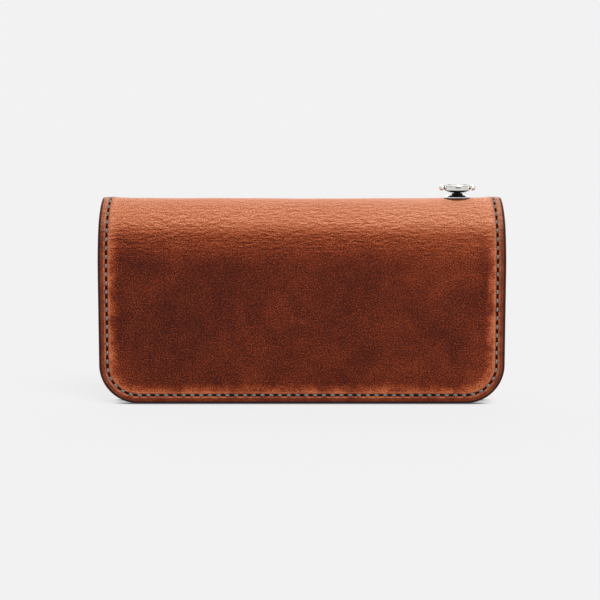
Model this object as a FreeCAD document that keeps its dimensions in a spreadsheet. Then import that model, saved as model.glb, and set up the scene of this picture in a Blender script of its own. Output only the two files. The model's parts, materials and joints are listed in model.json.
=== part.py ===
import FreeCAD, Part
import math
import os
import re
import Sketcher

# Folded leather long wallet with a zipped coin pocket. +Z up, +X along the length, millimetres.
# The back half is at -Y and the front half at +Y. Both hang from the fold and lean in.

V = FreeCAD.Vector

SIZES = {
    # whole wallet
    "wallet_length": 192, "crown_height": 97.5, "corner_radius": 18.4,
    "narrowing_radius": 350, "narrowing_rise": 35, "fold_radius": 13.5, "lean_angle": 3,
    # leather sheets, each laid on the one before with a small gap
    "cover_thick": 2.2, "lining_thick": 0.8, "wall_thick": 1.1, "panel_thick": 1.0,
    "tier_thick": 0.9, "sheet_gap": 0.1, "panel_drop": 3.5, "spine_gap_angle": 1,
    # sewing
    "stitch_inset": 4, "thread_width": 0.8, "thread_thick": 0.35, "thread_gap_angle": 4,
    # coin pocket and zip
    "coin_space": 5, "coin_rim": 12, "coin_foot": 20, "coin_drop": 5.5,
    "zip_drop": 13.8, "zip_window_width": 9, "zip_end_margin": 6,
    "tape_thick": 0.6, "tape_width": 4, "snug_gap": 0.05, "teeth_width": 2.1, "teeth_thick": 1.8,
    "teeth_split": 1.4, "tooth_pitch": 4, "tooth_length": 2, "stop_length": 1.6,
    # slider and pull
    "run_gap": 0.3, "slider_length": 12, "slider_plate": 1.2, "slider_lip": 0.85,
    "slider_web_length": 6, "post_radius": 1.2, "post_head_radius": 2.3, "post_head_thick": 0.6,
    "link_thick": 0.9, "link_width": 5, "link_reach": 11.5, "tab_start": 8.2, "tab_width": 9,
    "tab_length": 25, "tab_thick": 1.3, "rivet_radius": 1, "rivet_head_radius": 1.9,
    "rivet_head_thick": 0.5,
    # card side
    "tier_drop_rear": 15, "tier_drop_middle": 26, "tier_drop_front": 37, "divider_gap": 1,
    # press fastener
    "snap_height": 12, "snap_cap_radius": 6.2, "snap_cap_dome": 2, "snap_shank_radius": 1.6,
    "snap_ring_radius": 5.6, "snap_ring_height": 3.4, "snap_bore_radius": 2.7, "snap_floor": 0.6,
    "snap_flange_radius": 5, "snap_flange_thick": 0.8, "snap_pin_radius": 1.5,
    "snap_bulb_radius": 2, "snap_tip_gap": 0.45, "hole_gap": 0.2,
    # stud on the fold
    "stud_place": 73.6, "stud_seat_depth": 0.5, "stud_base_radius": 6.3, "stud_base_height": 1.6,
    "stud_neck_radius": 2.75, "stud_neck_height": 0.9, "stud_shank_radius": 2,
    "stud_pin_radius": 1.5, "stud_pin_height": 2, "stud_flange_radius": 2.2,
    "stud_flange_thick": 0.6, "drum_radius": 5.9, "drum_height": 2.7, "cone_height": 0.8,
    "bead_count": 2, "bead_radius": 1.5, "bead_ring_radius": 7.2,
    "washer_radius": 5, "washer_thick": 1.2, "screw_head_radius": 3.6, "screw_head_thick": 1.2,
}

DERIVED = {
    "half_length": "wallet_length / 2",
    "fold_height": "crown_height - fold_radius",
    "hinge_height": "fold_height - fold_radius * sin(lean_angle)",
    "hinge_offset": "fold_radius * cos(lean_angle)",
    "spine_angle": "(180 + 2 * lean_angle) / 3",
    "sheet_foot": "hinge_height + corner_radius",
    "lining_depth": "cover_thick + sheet_gap",
    "lining_radius": "fold_radius - lining_depth",
    "inner_radius": "lining_radius - lining_thick",
    "panel_depth": "lining_depth + lining_thick + sheet_gap",
    "rim_depth": "panel_depth + panel_thick + sheet_gap",
    "raised_depth": "panel_depth + panel_thick + coin_space",
    "raised_half": "half_length - coin_rim",
    "hollow_half": "raised_half - wall_thick",
    "coin_height": "hinge_height - coin_foot",
    "window_half": "hollow_half - zip_end_margin",
    "tape_depth": "raised_depth - snug_gap - tape_thick",
    "teeth_depth": "tape_depth + tape_thick / 2 - teeth_thick / 2",
    "teeth_top": "teeth_depth + teeth_thick",
    "teeth_outer": "teeth_split / 2 + teeth_width",
    "slider_half_width": "teeth_outer + run_gap + slider_lip",
    "slider_place": "window_half - stop_length - run_gap - slider_length / 2",
    "slider_top": "teeth_top + run_gap + slider_plate",
    "wall_face": "raised_depth + wall_thick",
    "tab_depth": "wall_face + thread_thick + run_gap",
    "link_depth": "tab_depth + tab_thick",
    "tier_depth_rear": "panel_depth + panel_thick + sheet_gap",
    "tier_depth_middle": "tier_depth_rear + tier_thick + sheet_gap",
    "tier_depth_front": "tier_depth_middle + tier_thick + sheet_gap",
    "card_face": "tier_depth_front + tier_thick",
    "snap_drop": "(hinge_height - snap_height) / cos(lean_angle)",
    "snap_room": "2 * (hinge_offset - (hinge_height - snap_height) * tan(lean_angle)) / cos(lean_angle)",
    "snap_socket_depth": "card_face + sheet_gap",
    "snap_pin_depth": "snap_room - snap_socket_depth - snap_floor - snap_tip_gap",
    "snap_mouth_depth": "snap_room - snap_socket_depth - snap_ring_height",
    "seat_height": "crown_height - stud_seat_depth",
    "neck_base": "seat_height + stud_base_height",
    "neck_top": "neck_base + stud_neck_height",
    "head_base": "neck_top + run_gap",
    "drum_base": "head_base + cone_height",
    "pin_top": "neck_top + stud_pin_height + stud_flange_thick",
    "washer_base": "fold_height + inner_radius - washer_thick",
    "screw_head_base": "washer_base - screw_head_thick",
}

# a half's own frame: X along the wallet, Y from the outer face inwards, Z up from the hinge line
BACK = "placement(vector(0; -sizes.hinge_offset; sizes.hinge_height); " \
       "rotation(vector(1; 0; 0); sizes.lean_angle))"
FRONT = "placement(vector(0; sizes.hinge_offset; sizes.hinge_height); " \
        "rotation(vector(0; 0; 1); 180) * rotation(vector(1; 0; 0); sizes.lean_angle))"
# turned pieces are drawn round +Z; this lays that axis along a half's inward direction
INWARD = "rotation(vector(1; 0; 0); -90)"
UPRIGHT = "rotation(vector(1; 0; 0); 0)"

doc = FreeCAD.newDocument("long_wallet")
sizes = doc.addObject("Spreadsheet::Sheet", "sizes")


def fill_sheet():
    rows = [(name, str(value)) for name, value in SIZES.items()]
    rows += [(name, "=" + formula) for name, formula in DERIVED.items()]
    for row, (name, content) in enumerate(rows, 1):
        sizes.set("A%d" % row, name)
        sizes.set("B%d" % row, content)
        sizes.setAlias("B%d" % row, name)
    doc.recompute()


def size(formula):
    """The formula with each word that is a cell's alias pointed at the sheet."""
    def point(match):
        word = match.group()
        return "sizes." + word if word in SIZES or word in DERIVED else word
    return re.sub("[a-z_]+", point, formula)


def bind(thing, **formulas):
    for prop, formula in formulas.items():
        thing.setExpression(prop, size(formula))


def place(thing, frame, across="0", inward="0", up="0", turn=UPRIGHT):
    spot = "placement(vector(%s; %s; %s); %s)" % (size(across), size(inward), size(up), turn)
    thing.setExpression("Placement", frame + " * " + spot if frame else spot)


def join(kind, name, base, tool):
    made = doc.addObject(kind, name)
    made.Base = base
    made.Tool = tool
    return made


def joined(name, pieces):
    made = doc.addObject("Part::MultiFuse", name)
    made.Shapes = pieces
    return made


def block(name, frame, across, inward, up):
    """A box between two formulas along each axis of a half's frame."""
    box = doc.addObject("Part::Box", name)
    bind(box, Length="%s - (%s)" % (across[1], across[0]),
         Width="%s - (%s)" % (inward[1], inward[0]), Height="%s - (%s)" % (up[1], up[0]))
    place(box, frame, across[0], inward[0], up[0])
    return box


def peg(name, frame, radius, start, end, across="0", up="0"):
    """A cylinder that points inwards, from one depth to another."""
    rod = doc.addObject("Part::Cylinder", name)
    bind(rod, Radius=radius, Height="%s - (%s)" % (end, start))
    place(rod, frame, across, start, up, INWARD)
    return rod


def pin_point(sketch, index, point, label):
    """Fix the start of a sketch line to two formulas; a distance of 0 puts it on the axis."""
    for axis, formula, line in (("X", point[0], -2), ("Y", point[1], -1)):
        if formula == "0":
            sketch.addConstraint(Sketcher.Constraint("PointOnObject", index, 1, line))
            continue
        start = getattr(sketch.getPoint(index, 1), axis.lower())
        number = sketch.addConstraint(
            Sketcher.Constraint("Distance" + axis, -1, 1, index, 1, start))
        sketch.renameConstraint(number, label + axis.lower())
        sketch.setExpression("Constraints." + label + axis.lower(), size(formula))


def new_sketch(body, name, plane):
    sketch = body.newObject("Sketcher::SketchObject", name)
    roles = {feature.Role: feature for feature in body.Origin.OriginFeatures}
    sketch.AttachmentSupport = [(roles[plane], "")]
    sketch.MapMode = "FlatFace"
    return sketch


def value(formula):
    """The formula's number, for a sketch's first guess."""
    scratch = doc.addObject("App::FeaturePython", "guess")
    scratch.addProperty("App::PropertyFloat", "Number")
    scratch.setExpression("Number", size(formula))
    scratch.recompute()
    number = scratch.Number
    doc.removeObject(scratch.Name)
    return number


def draw_polygon(sketch, points):
    guess = [V(value(across), value(up), 0) for across, up in points]
    for index, start in enumerate(guess):
        sketch.addGeometry(Part.LineSegment(start, guess[(index + 1) % len(guess)]), False)
    for index in range(len(guess)):
        sketch.addConstraint(
            Sketcher.Constraint("Coincident", index, 2, (index + 1) % len(guess), 1))
    for index, point in enumerate(points):
        pin_point(sketch, index, point, "p%d" % index)


def turned(name, points, frame="", across="0", inward="0", up="0", turn=UPRIGHT):
    """A body turned round its own Z from (radius, height) formulas."""
    body = doc.addObject("PartDesign::Body", name)
    sketch = new_sketch(body, name + "_profile", "XZ_Plane")
    draw_polygon(sketch, points)
    doc.recompute()
    turn_all = body.newObject("PartDesign::Revolution", name + "_turn")
    turn_all.Profile = sketch
    turn_all.ReferenceAxis = (sketch, ["V_Axis"])
    turn_all.Angle = 360
    place(body, frame, across, inward, up, turn)
    return body


def outline(name, inset):
    """The wallet's side view as a thick slab: round lower corners, sides drawn in at the top."""
    half = value("half_length - (%s)" % inset)
    foot = value(inset)
    corner = value("corner_radius - (%s)" % inset)
    bend = value("narrowing_radius - (%s)" % inset)
    start = value("crown_height - narrowing_rise")
    top = value("crown_height + cover_thick")
    rise = math.asin((top - start) / bend)
    shoulder = half - bend + bend * math.cos(rise)
    body = doc.addObject("PartDesign::Body", name)
    sketch = new_sketch(body, name + "_line", "XZ_Plane")
    up = V(0, 0, 1)

    def arc(x, z, radius, begin, end):
        return Part.ArcOfCircle(Part.Circle(V(x, z, 0), up, radius), begin, end)

    quarter = math.pi / 2
    for piece in (
        Part.LineSegment(V(corner - half, foot, 0), V(half - corner, foot, 0)),
        arc(half - corner, foot + corner, corner, -quarter, 0),
        Part.LineSegment(V(half, foot + corner, 0), V(half, start, 0)),
        arc(half - bend, start, bend, 0, rise),
        Part.LineSegment(V(shoulder, top, 0), V(-shoulder, top, 0)),
        arc(bend - half, start, bend, math.pi - rise, math.pi),
        Part.LineSegment(V(-half, start, 0), V(-half, foot + corner, 0)),
        arc(corner - half, foot + corner, corner, math.pi, math.pi + quarter),
    ):
        sketch.addGeometry(piece, False)
    add = sketch.addConstraint
    tie = Sketcher.Constraint
    for first, end, second, begin in ((0, 2, 1, 1), (1, 2, 2, 1), (2, 2, 3, 1),
                                      (5, 2, 6, 1), (6, 2, 7, 1), (7, 2, 0, 1)):
        add(tie("Tangent", first, end, second, begin))
    add(tie("Coincident", 3, 2, 4, 1))
    add(tie("Coincident", 4, 2, 5, 1))
    add(tie("Horizontal", 0))
    add(tie("Vertical", 2))
    add(tie("Equal", 1, 7))
    add(tie("Equal", 3, 5))
    add(tie("Symmetric", 4, 1, 4, 2, -2))
    add(tie("Symmetric", 2, 2, 6, 1, -2))
    for kind, place_of, formula, guess in (
        ("Radius", (1,), "corner_radius - (%s)" % inset, corner),
        ("Radius", (3,), "narrowing_radius - (%s)" % inset, bend),
        ("DistanceX", (-1, 1, 2, 2), "half_length - (%s)" % inset, half),
        ("DistanceY", (-1, 1, 2, 2), "crown_height - narrowing_rise", start),
        ("DistanceY", (-1, 1, 4, 1), "crown_height + cover_thick", top),
        ("DistanceY", (-1, 1, 0, 1), inset, foot),
    ):
        if formula == "0":
            add(tie("PointOnObject", 0, 1, -1))
            continue
        number = add(tie(kind, *place_of, guess))
        sketch.renameConstraint(number, "size%d" % number)
        sketch.setExpression("Constraints.size%d" % number, size(formula))
    pad = body.newObject("PartDesign::Pad", name + "_slab")
    pad.Profile = sketch
    pad.SideType = "Symmetric"
    bind(pad, Length="4 * fold_radius")
    doc.recompute()
    return body


def sheet(name, frame, depth, thick, drop, edge, spread="half_length"):
    """A flat sheet of one half, from a drop under the hinge line down to the foot."""
    far = "%s + %s" % (depth, thick)
    blank = block(name + "_blank", frame, ("-1 * (%s)" % spread, spread), (depth, far),
                  ("-1 * sheet_foot", "-1 * (%s)" % drop))
    return join("Part::Common", name, blank, edge)


def fold_strip(name, number, inner, outer, gap, edge):
    """One of the three strips of the fold, between two radii."""
    solid = doc.addObject("Part::Cylinder", name + "_solid")
    bind(solid, Radius=outer, Height="wallet_length", Angle="spine_angle - %s" % gap)
    core = doc.addObject("Part::Cylinder", name + "_core")
    bind(core, Radius=inner, Height="wallet_length")
    start = size("180 + lean_angle - %d * spine_angle + %s / 2" % (number, gap))
    turn = "rotation(vector(1; 0; 0); %s) * rotation(vector(1; 1; 1); 120)" % start
    for piece in (solid, core):
        place(piece, "", "-1 * half_length", "0", "fold_height", turn)
    ring = join("Part::Cut", name + "_ring", solid, core)
    return join("Part::Common", name, ring, edge)


def stud_hole(name, sheet_of, bottom):
    hole = doc.addObject("Part::Cylinder", name + "_hole")
    bind(hole, Radius="stud_shank_radius + hole_gap", Height="fold_radius")
    place(hole, "", "stud_place", "0", bottom)
    return join("Part::Cut", name, sheet_of, hole)


def snap_hole(name, sheet_of, frame):
    hole = peg(name + "_hole", frame, "snap_shank_radius + hole_gap", "-1", "raised_depth",
               up="-1 * snap_drop")
    return join("Part::Cut", name, sheet_of, hole)


def make_spine(edge, stitch_edge):
    """Cover, lining and thread of the fold, each in three strips; the middle one holds the stud."""
    made = []
    for number, place_of in enumerate(("back", "crown", "front"), 1):
        cover = "cover_spine_" + place_of
        lining = "lining_spine_" + place_of
        whole = place_of != "crown"
        outer = fold_strip(cover if whole else cover + "_plain", number,
                           "fold_radius - cover_thick", "fold_radius", "spine_gap_angle", edge)
        inner = fold_strip(lining if whole else lining + "_plain", number,
                           "inner_radius", "lining_radius", "spine_gap_angle", edge)
        if not whole:
            seat = doc.addObject("Part::Cylinder", "stud_seat_cut")
            bind(seat, Radius="stud_base_radius + hole_gap", Height="fold_radius")
            place(seat, "", "stud_place", "0", "seat_height")
            outer = join("Part::Cut", cover + "_seated", outer, seat)
            outer = stud_hole(cover, outer, "fold_height")
            inner = stud_hole(lining, inner, "fold_height")
        made += [outer, inner, fold_strip("thread_spine_" + place_of, number,
                                          "fold_radius + snug_gap",
                                          "fold_radius + thread_thick", "thread_gap_angle",
                                          stitch_edge)]
    return made


def make_coin_front(edge):
    """A flat rim sewn to the back wall, and a raised box with a window for the zip."""
    rim = sheet("coin_rim_sheet", BACK, "rim_depth", "wall_thick", "coin_drop", edge)
    raised = block("coin_raised", BACK, ("-1 * raised_half", "raised_half"),
                   ("rim_depth", "wall_face"), ("-1 * coin_height", "-1 * coin_drop"))
    hollow = block("coin_hollow", BACK, ("-1 * hollow_half", "hollow_half"),
                   ("panel_depth", "raised_depth"),
                   ("wall_thick - coin_height", "-1 * coin_drop - wall_thick"))
    window = block("coin_window", BACK, ("-1 * window_half", "window_half"),
                   ("panel_depth", "wall_face + 1"),
                   ("-1 * zip_drop - zip_window_width / 2", "-1 * zip_drop + zip_window_width / 2"))
    body = join("Part::Fuse", "coin_body", rim, raised)
    body = join("Part::Cut", "coin_shell", body, hollow)
    body = join("Part::Cut", "coin_cut", body, window)
    return snap_hole("coin_front_wall", body, BACK)


def make_back_half(edge, stitch_edge):
    cover = sheet("cover_back", BACK, "0", "cover_thick", "sheet_gap", edge)
    lining = sheet("lining_back", BACK, "lining_depth", "lining_thick", "sheet_gap", edge)
    wall = sheet("coin_back_plain", BACK, "panel_depth", "panel_thick", "panel_drop", edge)
    wall = snap_hole("coin_back_wall", wall, BACK)
    thread = sheet("thread_back", BACK, "-1 * thread_thick", "thread_thick", "thread_width",
                   stitch_edge)
    return [cover, lining, wall, make_coin_front(edge), thread, make_zip_thread()]


def make_zip_thread():
    """One row of stitching round the zip window."""
    def ring(name, inset):
        reach = "window_half + thread_width + " + inset
        rise = "zip_window_width / 2 + thread_width / 2 + " + inset
        return block(name, BACK, ("-1 * (%s)" % reach, reach),
                     ("wall_face", "wall_face + thread_thick"),
                     ("-1 * zip_drop - (%s)" % rise, "-1 * zip_drop + %s" % rise))
    return join("Part::Cut", "thread_zip", ring("zip_thread_outer", "thread_width"),
                ring("zip_thread_inner", "0"))


def make_teeth(name, side):
    """A cord with teeth on its inner side; side is 1 above the middle of the zip, -1 below."""
    body = doc.addObject("PartDesign::Body", name)
    place(body, BACK, "0", "teeth_depth + teeth_thick / 2", "-1 * zip_drop")
    run = "window_half - stop_length - sheet_gap"
    near = "%d * ( teeth_split / 2 )" % side
    middle = "%d * ( teeth_split / 2 + teeth_width / 2 )" % side
    far = "%d * teeth_outer" % side

    def add_pad(label, left, right, low, high):
        sketch = new_sketch(body, name + "_" + label, "XZ_Plane")
        draw_polygon(sketch, [(left, low), (right, low), (right, high), (left, high)])
        doc.recompute()
        pad = body.newObject("PartDesign::Pad", name + "_" + label + "_pad")
        pad.Profile = sketch
        pad.SideType = "Symmetric"
        bind(pad, Length="teeth_thick")
        doc.recompute()
        return sketch, pad

    add_pad("cord", "-1 * (%s)" % run, run, middle, far)
    first = "-1 * (%s)" % run
    sketch, tooth = add_pad("tooth", first, first + " + tooth_length", near, middle)
    row = body.newObject("PartDesign::LinearPattern", name + "_row")
    row.Originals = [tooth]
    row.Direction = (sketch, ["H_Axis"])
    count = "floor((2 * (%s) - tooth_length) / tooth_pitch)" % run
    bind(row, Occurrences=count + " + 1", Length="tooth_pitch * " + count)
    body.Tip = row
    doc.recompute()
    return body


def make_zip():
    made = []
    for name, side in (("upper", 1), ("lower", -1)):
        edges = ["%d * ( teeth_outer + snug_gap )" % side,
                 "%d * ( teeth_outer + snug_gap + tape_width )" % side]
        low, high = edges[::side]
        made.append(block("zip_tape_" + name, BACK,
                          ("zip_end_margin / -2 - window_half", "window_half + zip_end_margin / 2"),
                          ("tape_depth", "tape_depth + tape_thick"),
                          ("-1 * zip_drop + %s" % low, "-1 * zip_drop + %s" % high)))
        made.append(make_teeth("zip_teeth_" + name, side))
    for name, start in (("left", "-1 * window_half"), ("right", "window_half - stop_length")):
        made.append(block("zip_stop_" + name, BACK, (start, start + " + stop_length"),
                          ("teeth_depth", "teeth_top"),
                          ("-1 * zip_drop - teeth_outer", "-1 * zip_drop + teeth_outer")))
    return made


def make_slider():
    """Two plates joined by a thin web between the rows of teeth, with lips over their cords."""
    ends = ("-1 * slider_place - slider_length / 2", "-1 * slider_place + slider_length / 2")
    wide = ("-1 * zip_drop - slider_half_width", "-1 * zip_drop + slider_half_width")
    under = "teeth_depth - run_gap"
    over = "teeth_top + run_gap"
    pieces = [
        block("slider_lower_plate", BACK, ends, (under + " - slider_plate", under), wide),
        block("slider_upper_plate", BACK, ends, (over, "slider_top"), wide),
        block("slider_web", BACK,
              ("-1 * slider_place - slider_web_length / 2",
               "-1 * slider_place + slider_web_length / 2"), (under, over),
              ("-1 * zip_drop - teeth_split / 2 + run_gap",
               "-1 * zip_drop + teeth_split / 2 - run_gap")),
    ]
    for name, side in (("upper", 1), ("lower", -1)):
        inner = "-1 * zip_drop + %d * ( teeth_outer + run_gap )" % side
        outer = "-1 * zip_drop + %d * slider_half_width" % side
        pieces.append(block("slider_lip_" + name, BACK, ends,
                            ("tape_depth + tape_thick + run_gap", "slider_top"),
                            (inner, outer)[::side]))
    body = joined("slider_body", pieces)
    post = turned("slider_post", [
        ("0", "0"), ("post_radius", "0"),
        ("post_radius", "link_depth - slider_top + link_thick + run_gap"),
        ("post_head_radius", "link_depth - slider_top + link_thick + run_gap"),
        ("post_head_radius", "link_depth - slider_top + link_thick + run_gap + post_head_thick"),
        ("0", "link_depth - slider_top + link_thick + run_gap + post_head_thick"),
    ], BACK, "-1 * slider_place", "slider_top", "-1 * zip_drop", INWARD)
    return [body, post]


def make_pull():
    """Metal link on the slider's post, and a leather tab riveted to it that hangs down."""
    middle = "-1 * slider_place"
    back = "link_depth + link_thick"

    def at(distance):
        return "-1 * zip_drop - (%s)" % distance

    eye = peg("link_eye", BACK, "link_width / 2", "link_depth", back, middle, at("0"))
    end = peg("link_end", BACK, "link_width / 2", "link_depth", back, middle, at("link_reach"))
    bar = block("link_bar", BACK,
                (middle + " - link_width / 2", middle + " + link_width / 2"),
                ("link_depth", back), (at("link_reach"), at("0")))
    hole = peg("link_hole", BACK, "post_radius + run_gap", "link_depth - 1", back + " + 1",
               middle, at("0"))
    pin_hole = peg("rivet_hole", BACK, "rivet_radius", "tab_depth - 1", back + " + 1",
                   middle, at("link_reach"))
    link = join("Part::Cut", "link_open", joined("link_plate", [eye, bar, end]), hole)
    link = join("Part::Cut", "pull_link", link, pin_hole)
    tail = "tab_start + tab_length - tab_width / 2"
    strap = block("tab_strap", BACK, (middle + " - tab_width / 2", middle + " + tab_width / 2"),
                  ("tab_depth", "link_depth"), (at(tail), at("tab_start")))
    tip = peg("tab_tip", BACK, "tab_width / 2", "tab_depth", "link_depth", middle, at(tail))
    tab = join("Part::Cut", "pull_tab", joined("tab_plain", [strap, tip]), pin_hole)
    rivet = turned("pull_rivet", [
        ("0", "0"), ("rivet_radius", "0"), ("rivet_radius", "tab_thick + link_thick"),
        ("rivet_head_radius", "tab_thick + link_thick"),
        ("rivet_head_radius / 2", "tab_thick + link_thick + rivet_head_thick"),
        ("0", "tab_thick + link_thick + rivet_head_thick"),
    ], BACK, middle, "tab_depth", at("link_reach"), INWARD)
    return [link, tab, rivet]


def make_front_half(edge, stitch_edge):
    made = [sheet("thread_front", FRONT, "-1 * thread_thick", "thread_thick", "thread_width",
                  stitch_edge)]
    for name, depth, thick, drop in (
        ("cover_front", "0", "cover_thick", "sheet_gap"),
        ("lining_front", "lining_depth", "lining_thick", "sheet_gap"),
        ("card_base_panel", "panel_depth", "panel_thick", "panel_drop"),
        ("card_tier_rear", "tier_depth_rear", "tier_thick", "tier_drop_rear"),
        ("card_tier_middle", "tier_depth_middle", "tier_thick", "tier_drop_middle"),
        ("card_tier_front", "tier_depth_front", "tier_thick", "tier_drop_front"),
    ):
        made.append(snap_hole(name, sheet(name + "_plain", FRONT, depth, thick, drop, edge), FRONT))
    steps = []
    foot = "snap_ring_radius + divider_gap - snap_drop"
    for name, low, high in (
        ("front", foot, "-1 * tier_drop_front - divider_gap"),
        ("middle", "-1 * tier_drop_front + divider_gap", "-1 * tier_drop_middle - divider_gap"),
        ("rear", "-1 * tier_drop_middle + divider_gap", "-1 * tier_drop_rear - divider_gap"),
    ):
        face = "tier_depth_%s + tier_thick" % name
        steps.append(block("divider_" + name, FRONT, ("thread_width / -2", "thread_width / 2"),
                           (face, face + " + thread_thick"), (low, high)))
    divider = doc.addObject("Part::Compound", "thread_card_divider")
    divider.Links = steps
    return made + [divider]


def make_snap():
    """Cap and socket through the front half, stud through the pocket's rim on the back half."""
    cap = turned("snap_cap", [
        ("0", "-1 * snap_cap_dome"), ("snap_cap_radius * 0.6", "snap_cap_dome * -0.85"),
        ("snap_cap_radius", "snap_cap_dome * -0.25"), ("snap_cap_radius", "0"),
        ("snap_shank_radius", "0"), ("snap_shank_radius", "snap_socket_depth"),
        ("0", "snap_socket_depth"),
    ], FRONT, "0", "0", "-1 * snap_drop", INWARD)
    socket = turned("snap_socket", [
        ("0", "0"), ("snap_ring_radius", "0"), ("snap_ring_radius", "snap_ring_height / 2"),
        ("snap_ring_radius - snap_floor", "snap_ring_height"),
        ("snap_bore_radius", "snap_ring_height"), ("snap_bore_radius", "snap_floor"),
        ("0", "snap_floor"),
    ], FRONT, "0", "snap_socket_depth", "-1 * snap_drop", INWARD)
    base = "rim_depth + wall_thick"
    stud = turned("snap_stud", [
        ("0", "panel_depth + sheet_gap"), ("snap_shank_radius", "panel_depth + sheet_gap"),
        ("snap_shank_radius", base), ("snap_flange_radius", base),
        ("snap_flange_radius", base + " + snap_flange_thick"),
        ("snap_pin_radius", base + " + snap_flange_thick"),
        ("snap_pin_radius", "snap_mouth_depth"), ("snap_bulb_radius", "snap_mouth_depth + 0.6"),
        ("snap_bulb_radius", "snap_pin_depth - 0.6"), ("snap_pin_radius", "snap_pin_depth"),
        ("0", "snap_pin_depth"),
    ], BACK, "0", "0", "-1 * snap_drop", INWARD)
    return [cap, socket, stud]


def make_stud():
    """Domed base on a flat seat, screw with a captive pin, washer under the fold, turning head."""
    base = turned("stud_base", [
        ("stud_shank_radius + hole_gap", "seat_height"), ("stud_base_radius", "seat_height"),
        ("stud_base_radius", "seat_height + stud_seat_depth + 0.4"),
        ("stud_base_radius * 0.7", "neck_base - 0.3"), ("stud_neck_radius", "neck_base"),
        ("stud_shank_radius + hole_gap", "neck_base"),
    ], "", "stud_place")
    screw = turned("stud_screw", [
        ("0", "screw_head_base"), ("screw_head_radius", "screw_head_base"),
        ("screw_head_radius", "washer_base"), ("stud_shank_radius", "washer_base"),
        ("stud_shank_radius", "neck_base"), ("stud_neck_radius", "neck_base"),
        ("stud_neck_radius", "neck_top"), ("stud_pin_radius", "neck_top"),
        ("stud_pin_radius", "neck_top + stud_pin_height"),
        ("stud_flange_radius", "neck_top + stud_pin_height"),
        ("stud_flange_radius", "pin_top"), ("0", "pin_top"),
    ], "", "stud_place")
    disc = turned("washer_disc", [
        ("stud_shank_radius + hole_gap", "washer_base"), ("washer_radius", "washer_base"),
        ("washer_radius", "fold_height + inner_radius"),
        ("stud_shank_radius + hole_gap", "fold_height + inner_radius"),
    ], "", "stud_place")
    inside = doc.addObject("Part::Cylinder", "washer_saddle")
    bind(inside, Radius="inner_radius - sheet_gap / 2", Height="wallet_length")
    place(inside, "", "-1 * half_length", "0", "fold_height", "rotation(vector(0; 1; 0); 90)")
    washer = join("Part::Common", "stud_backing_washer", disc, inside)
    return [base, screw, washer, make_stud_head()]


def make_stud_head():
    top = "drum_base + drum_height"
    drum = turned("head_drum", [
        ("stud_pin_radius + run_gap", "head_base"), ("stud_neck_radius + 1", "head_base"),
        ("drum_radius", "drum_base"), ("drum_radius", top + " - 0.6"),
        ("drum_radius - 0.9", top), ("0", top),
        ("0", "pin_top + run_gap"), ("stud_flange_radius + run_gap", "pin_top + run_gap"),
        ("stud_flange_radius + run_gap", "neck_top + stud_pin_height - run_gap"),
        ("stud_pin_radius + run_gap", "neck_top + stud_pin_height - run_gap"),
    ], "", "stud_place")
    pieces = [drum]
    for number in range(SIZES["bead_count"]):
        bead = doc.addObject("Part::Sphere", "bead_%d" % (number + 1))
        bind(bead, Radius="bead_radius")
        turn = "%d * 360 / bead_count" % number
        place(bead, "", "stud_place + bead_ring_radius * cos(%s)" % turn,
              "bead_ring_radius * sin(%s)" % turn, "drum_base + drum_height / 2")
        pieces.append(bead)
    return joined("stud_head", pieces)


def write_parts(pieces):
    os.makedirs("parts", exist_ok=True)
    doc.recompute()
    for thing in doc.Objects:
        if "Invalid" in thing.State or "Error" in thing.State:
            raise RuntimeError("%s could not be made: %s" % (thing.Label, thing.State))
    for piece in pieces:
        if piece.Shape.isNull() or not piece.Shape.isValid():
            raise RuntimeError("%s has no valid shape" % piece.Label)
        piece.Shape.exportStep("parts/%s.step" % piece.Label)


fill_sheet()
wallet_edge = outline("wallet_edge", "0")
stitch_outer = outline("stitch_outer", "stitch_inset - thread_width / 2")
stitch_inner = outline("stitch_inner", "stitch_inset + thread_width / 2")
stitch_ring = join("Part::Cut", "stitch_ring", stitch_outer, stitch_inner)
write_parts(
    make_back_half(wallet_edge, stitch_ring)
    + make_zip()
    + make_slider()
    + make_pull()
    + make_spine(wallet_edge, stitch_ring)
    + make_stud()
    + make_front_half(wallet_edge, stitch_ring)
    + make_snap()
)
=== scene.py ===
import json
import math

import bpy
import numpy as np
from mathutils import Matrix, Vector


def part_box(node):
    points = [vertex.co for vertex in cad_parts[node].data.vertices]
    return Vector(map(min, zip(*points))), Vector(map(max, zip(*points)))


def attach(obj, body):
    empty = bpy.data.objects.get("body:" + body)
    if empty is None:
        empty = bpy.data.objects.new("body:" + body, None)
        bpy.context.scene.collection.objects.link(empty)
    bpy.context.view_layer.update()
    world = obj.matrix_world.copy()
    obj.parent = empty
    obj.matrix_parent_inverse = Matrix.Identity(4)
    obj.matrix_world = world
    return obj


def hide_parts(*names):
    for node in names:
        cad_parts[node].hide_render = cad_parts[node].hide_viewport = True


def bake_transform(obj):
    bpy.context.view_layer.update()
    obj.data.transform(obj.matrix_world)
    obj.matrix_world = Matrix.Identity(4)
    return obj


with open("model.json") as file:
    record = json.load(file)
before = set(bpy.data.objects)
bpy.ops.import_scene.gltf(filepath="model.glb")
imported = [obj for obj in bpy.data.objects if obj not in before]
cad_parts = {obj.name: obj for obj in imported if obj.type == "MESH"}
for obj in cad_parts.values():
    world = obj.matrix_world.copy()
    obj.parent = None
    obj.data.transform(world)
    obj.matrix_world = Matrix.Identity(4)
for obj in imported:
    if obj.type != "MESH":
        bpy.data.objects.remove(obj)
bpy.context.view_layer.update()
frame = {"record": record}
bpy.ops.object.select_all(action="DESELECT")

# ---------------------------------------------------------------------------------------------
# Camera, light and table
# A long lens looks square on at the cover, a little from above. A broad soft light comes from
# above the camera and a weak one from the far side; the table and backdrop are pale paper.

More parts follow.
